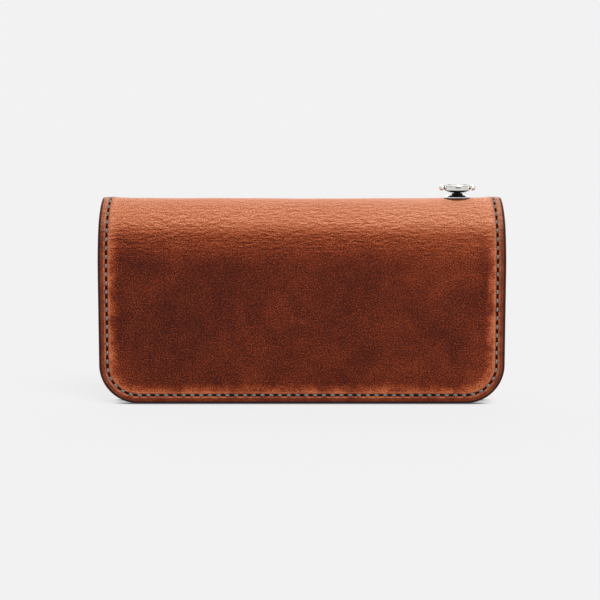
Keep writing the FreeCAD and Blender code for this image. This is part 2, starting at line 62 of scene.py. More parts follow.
VIEW_DISTANCE = 0.90
VIEW_RISE = math.radians(5.5)
VIEW_WIDTH = 0.2860
AIM = Vector((-0.0009, 0, 0.0485))
PAPER = "#f2f2f2"
FOOT_SHADE = "#42444c"


def linear(hex_colour):
    """An sRGB hex colour as linear RGBA."""
    parts = [int(hex_colour[k:k + 2], 16) / 255 for k in (1, 3, 5)]
    return [c / 12.92 if c <= 0.04045 else ((c + 0.055) / 1.055) ** 2.4 for c in parts] + [1]


def add_node(tree, kind, inputs=None, stops=(), **settings):
    """Add a shader node with its settings and links. An input is a number, a hex colour, another
    node's output, or the node itself for its first output in use. Stops are a ramp's colours."""
    node = tree.nodes.new("ShaderNode" + kind)
    for name, setting in settings.items():
        setattr(node, name, setting)
    for number, (position, colour) in enumerate(stops):
        elements = node.color_ramp.elements
        element = elements[number] if number < len(elements) else elements.new(position)
        element.position = position
        element.color = linear(colour)
    for key, given in (inputs or {}).items():
        if isinstance(given, bpy.types.Node):
            given = next(output for output in given.outputs if output.enabled)
        if isinstance(given, bpy.types.NodeSocket):
            tree.links.new(node.inputs[key], given)
        else:
            node.inputs[key].default_value = linear(given) if isinstance(given, str) else given
    return node


def new_material(name):
    """An empty node material."""
    material = bpy.data.materials.new(name)
    material.use_nodes = True
    material.node_tree.nodes.clear()
    return material, material.node_tree


camera = bpy.data.objects.new("camera", bpy.data.cameras.new("camera"))
bpy.context.scene.collection.objects.link(camera)
camera.location = AIM + VIEW_DISTANCE * Vector((0, -math.cos(VIEW_RISE), math.sin(VIEW_RISE)))
camera.rotation_euler = (AIM - camera.location).to_track_quat("-Z", "Y").to_euler()
camera.data.lens = camera.data.sensor_width * VIEW_DISTANCE / VIEW_WIDTH
camera.data.clip_end = 100
bpy.context.scene.camera = camera
bpy.context.scene.view_settings.view_transform = "Standard"

for name, strength, spread, direction in (
    ("broad_softbox", 2.6, 26, (-0.25, 0.62, -0.80)),
    ("rear_softbox", 0.8, 60, (0.1, -0.75, -0.60)),
):
    lamp = bpy.data.objects.new(name, bpy.data.lights.new(name, "SUN"))
    bpy.context.scene.collection.objects.link(lamp)
    lamp.data.energy = strength
    lamp.data.angle = math.radians(spread)
    lamp.rotation_euler = Vector(direction).to_track_quat("-Z", "Y").to_euler()

world = bpy.data.worlds.new("studio")
bpy.context.scene.world = world
world.use_nodes = True
tree = world.node_tree
tree.nodes.clear()
path = add_node(tree, "LightPath")
seen = add_node(tree, "Math", {0: path.outputs["Is Camera Ray"], 1: path.outputs["Is Glossy Ray"]},
                operation="MAXIMUM")
seen = add_node(tree, "Math", {0: seen, 1: path.outputs["Is Transmission Ray"]},
                operation="MAXIMUM")
fill = add_node(tree, "Background", {"Color": (1, 1, 1, 1), "Strength": 0.38})
backdrop = add_node(tree, "Background", {"Color": PAPER, "Strength": 1})
sky = add_node(tree, "MixShader", {0: seen, 1: fill, 2: backdrop})
add_node(tree, "OutputWorld", {"Surface": sky})


def pale_paper():
    """Matt paper: to the camera mostly the backdrop's own tone, with the wallet's soft shadow,
    darker in the narrow gap where an edge comes down to it."""
    material, tree = new_material("pale_paper")
    hidden = add_node(tree, "AmbientOcclusion", {"Distance": 0.014}, samples=16)
    near = add_node(tree, "MapRange", {0: hidden.outputs["AO"], 1: 0.62, 2: 0.12, 4: 0.9},
                    interpolation_type="SMOOTHSTEP")
    own_tone = add_node(tree, "Mix", {0: near, 6: PAPER, 7: FOOT_SHADE}, data_type="RGBA")
    own_light = add_node(tree, "Emission", {"Color": own_tone})
    lit_tone = add_node(tree, "Mix", {0: near, 6: "#e0e0e0", 7: FOOT_SHADE}, data_type="RGBA")
    lit = add_node(tree, "BsdfDiffuse", {"Color": lit_tone})
    to_camera = add_node(tree, "MixShader", {0: 0.12, 1: own_light, 2: lit})
    to_wallet = add_node(tree, "BsdfDiffuse", {"Color": "#e2e2e2"})
    path = add_node(tree, "LightPath")
    surface = add_node(tree, "MixShader", {0: path.outputs["Is Camera Ray"], 1: to_wallet,
                                           2: to_camera})
    add_node(tree, "OutputMaterial", {"Surface": surface})
    return material


bpy.ops.mesh.primitive_plane_add(size=40, location=(0, 0, -0.0003))
table = bpy.context.object
table.name = "paper_table"
table.data.materials.append(pale_paper())

# ---------------------------------------------------------------------------------------------
# Cover
# One piece of thick vegetable-tanned cowhide, hot-stuffed with oil and wax, folded over and sewn
# near its edge on three sides to thin lining leather. The cut edges are painted and burnished.
# It is made as four strips that meet half way along each strip of the fold.

MM = 0.001
STITCH_INSET = 4.0 * MM
NARROWING_RADIUS = 350 * MM
NARROWING_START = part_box("cover_spine_crown")[1][2] - 35 * MM
CORNER = 18.4 * MM
HALF_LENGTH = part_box("cover_back")[1][0]
# the fold's lean, radius and height come from the joints; s is the distance over the fold from
# its crown, and the strips meet at s = 0 and SEAM, half way between two joints
joints = {joint["name"]: joint for joint in frame["record"]["behaviour"]["joints"]}
BACK_HINGE = Vector(joints["fold_back_edge"]["pos_m"])
LEAN = math.asin(joints["pull_swing"]["axis"][2])
FOLD_RADIUS = -BACK_HINGE.y / math.cos(LEAN)
FOLD_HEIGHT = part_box("cover_spine_crown")[1][2] - FOLD_RADIUS
ARC_END = FOLD_RADIUS * (math.pi / 2 + LEAN)
SEAM = ARC_END * 2 / 3
FOOT = ARC_END + (FOLD_HEIGHT - FOLD_RADIUS * math.sin(LEAN)) / math.cos(LEAN)
CORNER_S = FOOT - CORNER / math.cos(LEAN)


def height_of(s):
    """World height on the outer face, s metres over the fold from the crown."""
    s = np.abs(s)
    angle = np.minimum(s, ARC_END) / FOLD_RADIUS
    return FOLD_HEIGHT + FOLD_RADIUS * np.cos(angle) - np.maximum(s - ARC_END, 0) * math.cos(LEAN)


def half_width(z):
    """Half the cover's length at a height: it narrows a little towards the crown."""
    rise = np.maximum(z - NARROWING_START, 0)
    return HALF_LENGTH - NARROWING_RADIUS + np.sqrt(NARROWING_RADIUS ** 2 - rise ** 2)


def wrap(x, s, h):
    """World points of the hide: x along the wallet, s over the fold, h above the outer face."""
    side = np.sign(s)
    angle = np.minimum(np.abs(s), ARC_END) / FOLD_RADIUS
    over = np.maximum(np.abs(s) - ARC_END, 0)
    y = -side * (FOLD_RADIUS + h) * np.sin(angle) - side * over * np.cos(angle)
    z = FOLD_HEIGHT + (FOLD_RADIUS + h) * np.cos(angle) - over * np.sin(angle)
    return np.stack([x, y, np.maximum(z, 0)], axis=-1)


def inset_of(x, s):
    """Distance from the cut edge, round the corners too."""
    z = height_of(s)
    side = half_width(z) - np.abs(x)
    past_x = np.abs(x) - (HALF_LENGTH - CORNER)
    below = CORNER - z
    round_corner = CORNER - np.hypot(past_x, below)
    flat = np.minimum(side, np.where(np.abs(s) > ARC_END, z / math.cos(LEAN), side))
    return np.where((past_x > 0) & (below > 0), round_corner, flat)


SEAM_ARC = math.pi / 2 * (CORNER - STITCH_INSET)
SEAM_LENGTH = 2 * CORNER_S + 2 * SEAM_ARC + 2 * (HALF_LENGTH - CORNER)
STITCH_COUNT = round(SEAM_LENGTH / (4.15 * MM))
STITCH_PITCH = SEAM_LENGTH / STITCH_COUNT


def along_seam(x, s):
    """Distance along the row of stitches from the crown, in stitches."""
    t = np.abs(s)
    z = height_of(s)
    past_x = np.abs(x) - (HALF_LENGTH - CORNER)
    turn = np.arctan2(np.maximum(CORNER - z, 0), np.maximum(past_x, 1e-9))
    at_corner = CORNER_S + turn * (CORNER - STITCH_INSET)
    foot = CORNER_S + SEAM_ARC - past_x
    run = np.where(t < CORNER_S, t, np.where(past_x > 0, at_corner, foot))
    return run / STITCH_PITCH


def hump(distance, width):
    """A smooth bump, 1 high where the distance is 0."""
    return np.exp(-(distance / width) ** 2)


def relief(x, s):
    """Height of the outer face in metres: the sewn channel, the puckers beside it, the swell
    inside it, the crown drawn down between the ends and slow waves in the hide."""
    inset = inset_of(x, s)
    pull = 0.5 + 0.5 * np.cos(2 * math.pi * along_seam(x, s))
    fold = hump(s, 17 * MM)
    inner = np.maximum(inset - 5 * MM, 0)
    h = -0.62 * MM * hump(inset - STITCH_INSET, 0.50 * MM)
    h += (0.20 + 0.16 * pull) * MM * hump(inset - 5.5 * MM, 0.85 * MM)
    h += (0.10 + 0.14 * pull) * MM * hump(inset - 2.7 * MM, 0.75 * MM)
    h -= 0.30 * MM * np.maximum(1 - inset / (1.7 * MM), 0) ** 2
    h += (1 - fold) * 0.75 * MM * (1 - np.exp(-inner / (9 * MM)))
    h -= fold * 0.55 * MM * (1 - np.exp(-inner / (14 * MM)))
    for scale, turn, lift in ((61, 0.3, 0.16), (37, 1.9, 0.10), (23, 2.6, 0.06)):
        wave = np.sin((x * math.cos(turn) + s * math.sin(turn)) / (scale * MM) * 2 * math.pi + scale)
        h += lift * MM * wave * np.sin(s / (scale * 0.8 * MM) + turn) * np.minimum(inner / 0.01, 1)
    return h


# millimetres in from the cut edge of the rings of faces that follow it, closest at the stitches
RING_INSETS = [0.9, 1.3, 1.8, 2.3, 2.7, 3.05, 3.35, 3.6, 3.8, 4.0, 4.2, 4.4, 4.65, 4.95, 5.3,
               5.7, 6.2, 6.8, 7.5, 8.3]
# (inset, depth) in millimetres down the painted edge, with a groove where the two leathers meet
EDGE_PROFILE = [(0.55, -0.10), (0.27, -0.24), (0.09, -0.46), (0.0, -0.80), (0.0, -1.75),
                (0.07, -2.02), (0.20, -2.20), (0.20, -2.28), (0.08, -2.42), (0.05, -2.75),
                (0.14, -2.98), (0.45, -3.10)]
SIDE_STEPS, CORNER_STEPS, FOOT_STEPS, FOLD_STEPS = 100, 36, 208, 22
RUN = SIDE_STEPS + CORNER_STEPS // 2
# kinds of face: the first three are also the number of the material
FACE, PAINTED, LINED, JOIN = range(4)


def seam_path(inset):
    """(x, s) round a half's edge at an inset: down the left side, along the foot, up the right."""
    s = np.linspace(SEAM, CORNER_S, SIDE_STEPS + 1)
    side = np.stack([inset - half_width(height_of(s)), s], -1)
    turn = np.linspace(0, math.pi / 2, CORNER_STEPS + 1)[1:]
    reach = CORNER - inset
    corner = np.stack([CORNER - HALF_LENGTH - reach * np.cos(turn),
                       CORNER_S + reach * np.sin(turn) / math.cos(LEAN)], -1)
    edge = HALF_LENGTH - CORNER
    foot_x = np.linspace(-edge, edge, FOOT_STEPS + 1)[1:-1]
    foot = np.stack([foot_x, np.full_like(foot_x, corner[-1][1])], -1)
    left = np.concatenate([side, corner])
    return np.concatenate([left, foot, left[::-1] * (-1, 1)])


def middle_grid(path):
    """Fill the space inside a path with rows and columns that run between its samples."""
    left = path[:RUN + 1]
    foot = path[RUN:len(path) - RUN]
    right = path[::-1][:RUN + 1]
    top_x = foot[:, 0] / foot[-1, 0] * right[0, 0]
    top = np.stack([top_x, np.full_like(top_x, left[0, 1])], -1)
    u = ((foot[:, 0] - foot[0, 0]) / (foot[-1, 0] - foot[0, 0]))[None, :, None]
    v = ((left[:, 1] - left[0, 1]) / (left[-1, 1] - left[0, 1]))[:, None, None]
    grid = (1 - u) * left[:, None] + u * right[:, None] + (1 - v) * top[None] + v * foot[None]
    grid -= (1 - u) * (1 - v) * left[0] + u * (1 - v) * right[0]
    grid -= (1 - u) * v * left[-1] + u * v * right[-1]
    return grid


class Sheet:
    """Points and faces of one strip of hide, with what its material reads at each point."""

    def __init__(self, side):
        self.side = side
        self.points, self.flat, self.faces, self.kinds = [], [], [], []

    def add(self, plane, depth, outer=True):
        """Points from (x, s) pairs at a depth; the outer face also gets its relief."""
        plane = np.asarray(plane, float).reshape(-1, 2) * (1, self.side)
        first = len(self.points)
        h = relief(plane[:, 0], plane[:, 1]) if outer else 0
        self.points.extend(wrap(plane[:, 0], plane[:, 1], h + depth).tolist())
        self.flat.extend(plane.tolist())
        return np.arange(first, first + len(plane))

    def face(self, corners, kind):
        """One face of a kind, turned the right way round on either side."""
        self.faces.append([int(c) for c in (corners if self.side > 0 else corners[::-1])])
        self.kinds.append(kind)

    def strip(self, first, second, kind):
        """Quads between two rows of points."""
        for k in range(len(first) - 1):
            self.face((first[k], first[k + 1], second[k + 1], second[k]), kind)

    def build(self, name, materials, seams):
        """The mesh, with its flat coordinates and the run of its stitches as attributes."""
        mesh = bpy.data.meshes.new(name)
        mesh.from_pydata(self.points, [], self.faces)
        mesh.polygons.foreach_set("material_index", [min(kind, LINED) for kind in self.kinds])
        mesh.polygons.foreach_set("use_smooth", [kind != JOIN for kind in self.kinds])
        flat = np.array(self.flat)
        inset = inset_of(flat[:, 0], flat[:, 1])
        run = along_seam(flat[:, 0], flat[:, 1])
        hide = mesh.attributes.new("hide", "FLOAT_VECTOR", "POINT")
        hide.data.foreach_set("vector", np.column_stack([flat / MM, inset / MM]).ravel())
        seam = mesh.attributes.new("stitch_run", "FLOAT", "POINT")
        seam.data.foreach_set("value", run.astype(np.float32))
        for material in materials:
            mesh.materials.append(material)
        self.match_seams(mesh, flat, seams)
        piece = bpy.data.objects.new(name, mesh)
        bpy.context.scene.collection.objects.link(piece)
        return piece

    def match_seams(self, mesh, flat, seams):
        """The same shading on both sides of a seam between two strips."""
        normals = np.zeros((len(flat), 3))
        step = 0.1 * MM
        for at in seams:
            near = np.abs(np.abs(flat[:, 1]) - at) < 1e-7
            x, s = flat[near].T
            inset = inset_of(x, s)
            points = [wrap(a, b, relief(a, b)) for a, b in
                      ((x - step, s), (x + step, s), (x, s - step), (x, s + step))]
            outward = np.cross(points[3] - points[2], points[1] - points[0])
            outward *= np.sign((outward * wrap(x * 0, s, 1.0)).sum(-1))[:, None]
            outward /= np.linalg.norm(outward, axis=1)[:, None]
            rim = inset < RING_INSETS[0] * MM - 1e-6
            outward[rim] = 0
            normals[near] = outward
        mesh.normals_split_custom_set_from_vertices(normals.tolist())


def make_half_hide(name, side, materials):
    """One broad cover: rings that follow the cut edge, and a grid inside them."""
    sheet = Sheet(side)
    rings = [sheet.add(seam_path(inset * MM), 0) for inset in RING_INSETS]
    rim = [sheet.add(seam_path(inset * MM), depth * MM, False) for inset, depth in EDGE_PROFILE]
    for outer, inner in zip(rings, rings[1:]):
        sheet.strip(outer, inner, FACE)
    for number, (inner, outer) in enumerate(zip([rings[0]] + rim, rim)):
        sheet.strip(outer, inner, FACE if number < 2 else PAINTED)
    last = rings[-1]
    path = seam_path(RING_INSETS[-1] * MM)
    grid = middle_grid(path)
    index = np.zeros(grid.shape[:2], int)
    index[:, 0], index[:, -1] = last[:RUN + 1], last[::-1][:RUN + 1]
    index[-1] = last[RUN:len(last) - RUN]
    index[:-1, 1:-1] = sheet.add(grid[:-1, 1:-1], 0).reshape(len(grid) - 1, -1)
    for upper, lower in zip(index, index[1:]):
        sheet.strip(upper[::-1], lower[::-1], FACE)
    back = rim[-1]
    left, right = back, back[::-1]
    turned = SIDE_STEPS + CORNER_STEPS
    for k in range(turned - 1):
        sheet.face((left[k], right[k], right[k + 1], left[k + 1]), LINED)
    foot = list(back[turned:len(back) - turned])
    sheet.face([left[turned - 1], right[turned - 1]] + foot[::-1], LINED)
    across = [ring[0] for ring in rings] + list(index[0, 1:-1]) + [r[-1] for r in rings[::-1]]
    loop = across + [r[-1] for r in rim] + [r[0] for r in rim[::-1]]
    sheet.face(loop, JOIN)
    return sheet.build(name, materials, [SEAM])


def make_fold_hide(name, side, materials):
    """The strip from the crown to the seam half way down the fold."""
    sheet = Sheet(side)
    path = seam_path(RING_INSETS[-1] * MM)
    foot_x = path[RUN:len(path) - RUN, 0]
    share = foot_x[1:-1] / foot_x[-1]
    rows = []
    for s in np.linspace(0, SEAM, FOLD_STEPS + 1):
        width = half_width(height_of(s))
        ring_x = width - np.array(RING_INSETS) * MM
        x = np.concatenate([-ring_x, share * ring_x[-1], ring_x[::-1]])
        face = sheet.add(np.stack([x, np.full_like(x, s)], -1), 0)
        rim = []
        for sign in (-1, 1):
            rim.append([sheet.add([(sign * (width - inset * MM), s)], depth * MM, False)[0]
                        for inset, depth in EDGE_PROFILE])
        rows.append(rim[0][::-1] + list(face) + rim[1])
    edge = len(EDGE_PROFILE)
    for upper, lower in zip(rows, rows[1:]):
        for k in range(len(upper) - 1):
            painted = k < edge - 2 or k >= len(upper) - edge + 1
            sheet.face((upper[k], lower[k], lower[k + 1], upper[k + 1]),
                       PAINTED if painted else FACE)
        sheet.face((upper[-1], lower[-1], lower[0], upper[0]), LINED)
    sheet.face(rows[0], JOIN)
    sheet.face(rows[-1][::-1], JOIN)
    return sheet.build(name, materials, [0, SEAM])


SOFT = {"interpolation_type": "SMOOTHSTEP"}


def hide_coordinates(tree):
    """Millimetres over the flat hide, read from the mesh: along the wallet, over the fold and in
    from the cut edge, and the first two as a vector."""
    hide = add_node(tree, "Attribute", attribute_name="hide")
    x, s, inset = add_node(tree, "SeparateXYZ", {0: hide.outputs["Vector"]}).outputs
    return x, s, inset, add_node(tree, "CombineXYZ", {0: x, 1: s})


def pull_up_cowhide():
    """Oil and wax in thick full-grain cowhide: dark and satin where it lies flat, and pale where it
    is bent or pulled, as over the fold and beside the stitches. Fine pebbled grain, with short
    ripples along the fold that also carry painted light and shade. The sewn channel and the slots
    between stitches are painted dark as their shade, and the rim by the cut edge is dark with edge
    paint and painted shade."""
    material, tree = new_material("pull_up_cowhide")
    x, s, inset, plane = hide_coordinates(tree)
    over_fold = add_node(tree, "Math", {0: s}, operation="ABSOLUTE")
    off_middle = add_node(tree, "Math", {0: x}, operation="ABSOLUTE")
    from_row = add_node(tree, "Math", {0: inset, 1: STITCH_INSET / MM}, operation="SUBTRACT")
    from_row = add_node(tree, "Math", {0: from_row}, operation="ABSOLUTE")
    run = add_node(tree, "Attribute", attribute_name="stitch_run")
    in_stitch = add_node(tree, "Math", {0: run.outputs["Fac"], 1: 0.5}, operation="PINGPONG")
    clouds = add_node(tree, "TexNoise", {"Vector": plane, "Scale": 1 / 30, "Detail": 2.5,
                                         "Roughness": 0.5, "Distortion": 0.6})
    patches = add_node(tree, "TexNoise", {"Vector": plane, "Scale": 1 / 7, "Detail": 5,
                                          "Roughness": 0.72})
    seam_patches = add_node(tree, "TexNoise", {"Vector": plane, "Scale": 1 / 7, "Detail": 4,
                                               "Roughness": 0.7})
    grain = add_node(tree, "TexNoise", {"Vector": plane, "Scale": 1 / 0.62, "Detail": 2,
                                        "Roughness": 0.6})
    pores = add_node(tree, "TexVoronoi", {"Vector": plane, "Scale": 1 / 1.05},
                     feature="DISTANCE_TO_EDGE")

    # each zone of the hide fades from low to high between two values of one measure
    zones = {}
    for zone, measure, start, end, low, high in (
        ("bent", over_fold, 27, 17, 0, 1),
        ("under_fold", over_fold, 42, 22, 0.12, 0.34),
        ("crown", over_fold, 16, 0, 0, 0.14),
        ("beside_seam", inset, 10.5, 5.4, 0, 0.27),
        ("in_patches", seam_patches, 0.36, 0.62, 0.5, 1.35),
        ("above_foot", over_fold, 101, 86, 0.95, 1.3),
        ("below_crown", over_fold, 14, 38, 0.15, 1),
        ("ends", off_middle, 58, 88, 0, 1),
        ("foot", over_fold, 74, 100, 0, 0.17),
        ("right", x, 10, 62, 0, 1),
        ("upper_face", over_fold, 62, 36, 0, 0.06),
        ("left", x, -20, -50, 0, -0.035),
        ("flat_away", over_fold, 22, 36, 0.35, 1),
        ("cells", pores, 0, 0.22, 0, 1),
        ("off_crown", over_fold, 0.5, 8, 0, 1),
        ("creased", over_fold, 42, 20, 0, 1),
        ("front", s, -0.1, 0.1, 0, 40),
        ("outer_strip", inset, 3.4, 2.4, 0, 1),
        ("strip_below_crown", over_fold, 8, 30, 0.30, 0.72),
        # the rim: edge paint on the face, and painted shade where the edge rolls down
        ("rim", inset, 1.5, 0.85, 0, 0.9),
        ("inner_ridge", inset, 4.5, 5.0, 0, 1),
        ("inner_ridge_end", inset, 6.2, 5.2, 0, 0.80),
        ("outer_ridge", inset, 3.5, 3.2, 0, 1),
        ("outer_ridge_end", inset, 2.5, 3.0, 0, 0.50),
        ("under_stitch", in_stitch, 0.40, 0.15, 0.3, 1.3),
        ("ridge_patches", patches, 0.34, 0.60, 0.35, 1),
        # the slots between stitches and the sewn channel: masks for painted shade
        ("between_stitches", in_stitch, 0.29, 0.23, 0, 1),
        ("slot_width", from_row, 0.58, 0.36, 0, 1),
        ("channel", from_row, 0.9, 0.5, 0, 0.5),
    ):
        zones[zone] = add_node(tree, "MapRange", {0: measure, 1: start, 2: end, 3: low, 4: high},
                               **SOFT)
    products = {}
    for product, factors in (
        ("near_edge", ("beside_seam", "in_patches", "above_foot", "below_crown")),
        ("corner", ("ends", "foot")),
        ("upper_right", ("right", "upper_face")),
        ("crease_zone", ("off_crown", "creased")),
        ("rubbed_strip", ("outer_strip", "strip_below_crown")),
        ("inner_ridge", ("inner_ridge", "inner_ridge_end")),
        ("outer_ridge", ("outer_ridge", "outer_ridge_end", "under_stitch")),
        ("slot", ("between_stitches", "slot_width")),
    ):
        products[product] = zones[factors[0]]
        for factor in factors[1:]:
            products[product] = add_node(tree, "Math", {0: products[product], 1: zones[factor]},
                                         operation="MULTIPLY")

    # where the oil is driven out: full over the crown, gone a little below the fold
    tone = add_node(tree, "Math", {0: zones["bent"], 1: 0.44, 2: zones["under_fold"]},
                    operation="MULTIPLY_ADD")
    # then lighter over the crown, inside the stitches and at the corners, lighter towards the upper
    # right of the face and a little darker towards the left
    for part in (zones["crown"], products["near_edge"], products["corner"],
                 products["upper_right"], zones["left"]):
        tone = add_node(tree, "Math", {0: tone, 1: part}, operation="ADD")
    unevenness = add_node(tree, "Math", {0: patches, 1: 0.26}, operation="MULTIPLY")
    unevenness = add_node(tree, "Math", {0: clouds, 1: 0.30, 2: unevenness},
                          operation="MULTIPLY_ADD")
    unevenness = add_node(tree, "Math", {0: unevenness, 1: 0.28}, operation="SUBTRACT")
    tone = add_node(tree, "Math", {0: unevenness, 1: zones["flat_away"], 2: tone},
                    operation="MULTIPLY_ADD")
    pebbles = add_node(tree, "Math", {0: zones["cells"], 1: 0.08}, operation="MULTIPLY")
    pebbles = add_node(tree, "Math", {0: grain, 1: 1.25, 2: pebbles}, operation="MULTIPLY_ADD")
    pebbles = add_node(tree, "Math", {0: pebbles, 1: 0.68}, operation="SUBTRACT")
    tone = add_node(tree, "Math", {0: tone, 1: pebbles}, operation="ADD")

    # painted light and shade on the ripples along the fold: each is painted pale where it faces up
    # and dark on its underside, from the difference of one stretched noise and the same noise a
    # little further down
    ripples = []
    for shift in (0.0, 0.30):
        below = add_node(tree, "Math", {0: over_fold, 1: shift}, operation="ADD")
        spot = add_node(tree, "CombineXYZ", {0: x, 1: below, 2: zones["front"]})
        spot = add_node(tree, "Mapping", {"Vector": spot, "Scale": (0.36, 1, 1)})
        ripples.append(add_node(tree, "TexNoise", {"Vector": spot, "Scale": 1 / 1.3, "Detail": 3,
                                                   "Roughness": 0.6, "Distortion": 0.5}))
    lit_side = add_node(tree, "Math", {0: ripples[1], 1: ripples[0]}, operation="SUBTRACT")
    lit_side = add_node(tree, "Math", {0: lit_side, 1: products["crease_zone"]},
                        operation="MULTIPLY")
    tone = add_node(tree, "Math", {0: lit_side, 1: 1.7, 2: tone}, operation="MULTIPLY_ADD")
    ripple = add_node(tree, "Math", {0: ripples[0], 1: 0.5}, operation="SUBTRACT")
    ripple = add_node(tree, "Math", {0: ripple, 1: products["crease_zone"]}, operation="MULTIPLY")
    colour = add_node(tree, "ValToRGB", {"Fac": tone}, stops=[
        (0.0, "#390f06"), (0.14, "#63230d"), (0.30, "#843618"), (0.52, "#ad5935"),
        (0.78, "#c77551"), (0.97, "#e19b79")])

    # the strip outside the stitches is rubbed darker, the rim by the cut edge is dark with edge
    # paint and painted shade where it rolls down, pale ridges stand beside the thread, the sewn
    # channel is painted darker as its shade, and the slots cut for the thread between one stitch and
    # the next are painted near black as the shade inside them
    ridge = add_node(tree, "Math", {0: products["inner_ridge"], 1: products["outer_ridge"]},
                     operation="ADD")
    ridge = add_node(tree, "Math", {0: ridge, 1: zones["ridge_patches"]}, operation="MULTIPLY")
    for amount, over in ((products["rubbed_strip"], "#5e2210"), (zones["rim"], "#22100d"),
                         (ridge, "#c56f48"), (zones["channel"], "#3d1b12"),
                         (products["slot"], "#0e0706")):
        colour = add_node(tree, "Mix", {0: amount, 6: colour, 7: over}, data_type="RGBA")

    rough = add_node(tree, "Math", {0: grain, 1: 0.34, 2: 0.30}, operation="MULTIPLY_ADD")
    height = add_node(tree, "Math", {0: grain, 1: 1.5}, operation="MULTIPLY")
    height = add_node(tree, "Math", {0: zones["cells"], 1: 0.35, 2: height},
                      operation="MULTIPLY_ADD")
    height = add_node(tree, "Math", {0: ripple, 1: 4.0, 2: height}, operation="MULTIPLY_ADD")
    bump = add_node(tree, "Bump", {"Strength": 0.9, "Distance": 0.34 * MM, "Height": height})
    surface = add_node(tree, "BsdfPrincipled", {"Base Color": colour, "Roughness": rough,
                                                "Specular IOR Level": 0.10, "Normal": bump})
    add_node(tree, "OutputMaterial", {"Surface": surface})
    return material


def painted_edge():
    """Edge paint over burnished leather: near black, smooth, with a faint line between layers."""
    material, tree = new_material("painted_edge")
    plane = hide_coordinates(tree)[-1]
    streaks = add_node(tree, "TexNoise", {"Vector": plane, "Scale": 1 / 1.6, "Detail": 3,
                                          "Roughness": 0.6})
    colour = add_node(tree, "ValToRGB", {"Fac": streaks}, stops=[(0.35, "#1a1011"),
                                                                 (0.7, "#33201f")])
    bump = add_node(tree, "Bump", {"Strength": 0.4, "Distance": 0.15 * MM, "Height": streaks})
    surface = add_node(tree, "BsdfPrincipled", {"Base Color": colour, "Roughness": 0.36,
                                                "Normal": bump})
    add_node(tree, "OutputMaterial", {"Surface": surface})
    return material


def smooth_calf_lining():
    """Thin chrome-tanned calf, dyed through and plated smooth: even brown, low satin shine."""
    material, tree = new_material("smooth_calf_lining")
    plane = hide_coordinates(tree)[-1]
    grain = add_node(tree, "TexNoise", {"Vector": plane, "Scale": 1 / 0.7, "Detail": 4,
                                        "Roughness": 0.6})
    clouds = add_node(tree, "TexNoise", {"Vector": plane, "Scale": 1 / 25, "Detail": 2})
    tone = add_node(tree, "Math", {0: clouds, 1: 0.6}, operation="MULTIPLY")
    tone = add_node(tree, "Math", {0: grain, 1: 0.4, 2: tone}, operation="MULTIPLY_ADD")
    colour = add_node(tree, "ValToRGB", {"Fac": tone}, stops=[(0.3, "#3c2117"), (0.7, "#5a3424")])
    bump = add_node(tree, "Bump", {"Strength": 0.5, "Distance": 0.12 * MM, "Height": grain})
    surface = add_node(tree, "BsdfPrincipled", {"Base Color": colour, "Roughness": 0.52,
                                                "Normal": bump})
    add_node(tree, "OutputMaterial", {"Surface": surface})
    return material


hide_materials = [pull_up_cowhide(), painted_edge(), smooth_calf_lining()]


def bend(piece):
    """Bake a strip's placement into its mesh."""
    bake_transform(piece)


PANEL_DROP = 3.5 * MM
SEAM_CLEAR = 5.3 * MM
STRIPS = [
    ("back", make_half_hide, 1, "fold_back_edge", PANEL_DROP, SEAM_CLEAR, ("back", "spine_back")),
    ("fold_back", make_fold_hide, 1, "fold_crown_back", SEAM_CLEAR, SEAM_CLEAR,
     ("spine_back", "spine_crown")),
    ("fold_front", make_fold_hide, -1, "fold_crown_front", SEAM_CLEAR, SEAM_CLEAR,
     ("spine_crown", "spine_front")),
    ("front", make_half_hide, -1, "fold_front_edge", SEAM_CLEAR, PANEL_DROP,
     ("spine_front", "front")),
]
for place_of, make, side, joint, before, after, nodes in STRIPS:
    piece = make("hide_" + place_of, side, hide_materials)
    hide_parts(*["cover_" + node for node in nodes], *["lining_" + node for node in nodes])
    bend(piece)

# ---------------------------------------------------------------------------------------------
# Outer stitching
# Saddle stitch in thick waxed polyester thread, six to the inch. Each stitch lies in the sewn
# channel and dives into a slanted slot at both ends.

THREAD_RADIUS = 0.58 * MM
STITCH_LENGTH = 2.3 * MM
THREAD_SIDES = 8
PLY_PITCH = 0.5067  # millimetres, as the material reads the thread's length and girth
THREADS = {"back": ["thread_back"], "fold_back": ["thread_spine_back", "thread_spine_crown"],
           "fold_front": ["thread_spine_crown", "thread_spine_front"], "front": ["thread_front"]}


def seam_point(run):
    """(x, s) on the left half of the seam, run metres from the crown."""
    if run < CORNER_S:
        return STITCH_INSET - float(half_width(height_of(run))), run
    edge = HALF_LENGTH - CORNER
    reach = CORNER - STITCH_INSET
    turn = (run - CORNER_S) / reach
    if turn < math.pi / 2:
        return -edge - reach * math.cos(turn), CORNER_S + reach * math.sin(turn) / math.cos(LEAN)
    return -edge + run - CORNER_S - SEAM_ARC, CORNER_S + reach / math.cos(LEAN)


def thread_shape():
    """One stitch along X as (along, across, up) rings: a round cord that dips at both ends."""
    rings = []
    for along in (-1, -0.86, -0.5, 0, 0.5, 0.86, 1):
        radius = THREAD_RADIUS * (1 - 0.45 * abs(along) ** 3)
        height = (-0.20 - 0.72 * abs(along) ** 3) * MM
        ring = []
        for k in range(THREAD_SIDES):
            turn = 2 * math.pi * k / THREAD_SIDES
            ring.append((along * STITCH_LENGTH / 2, 1.08 * radius * math.cos(turn),
                         height + 0.92 * radius * math.sin(turn)))
        rings.append(ring)
    return np.array(rings)


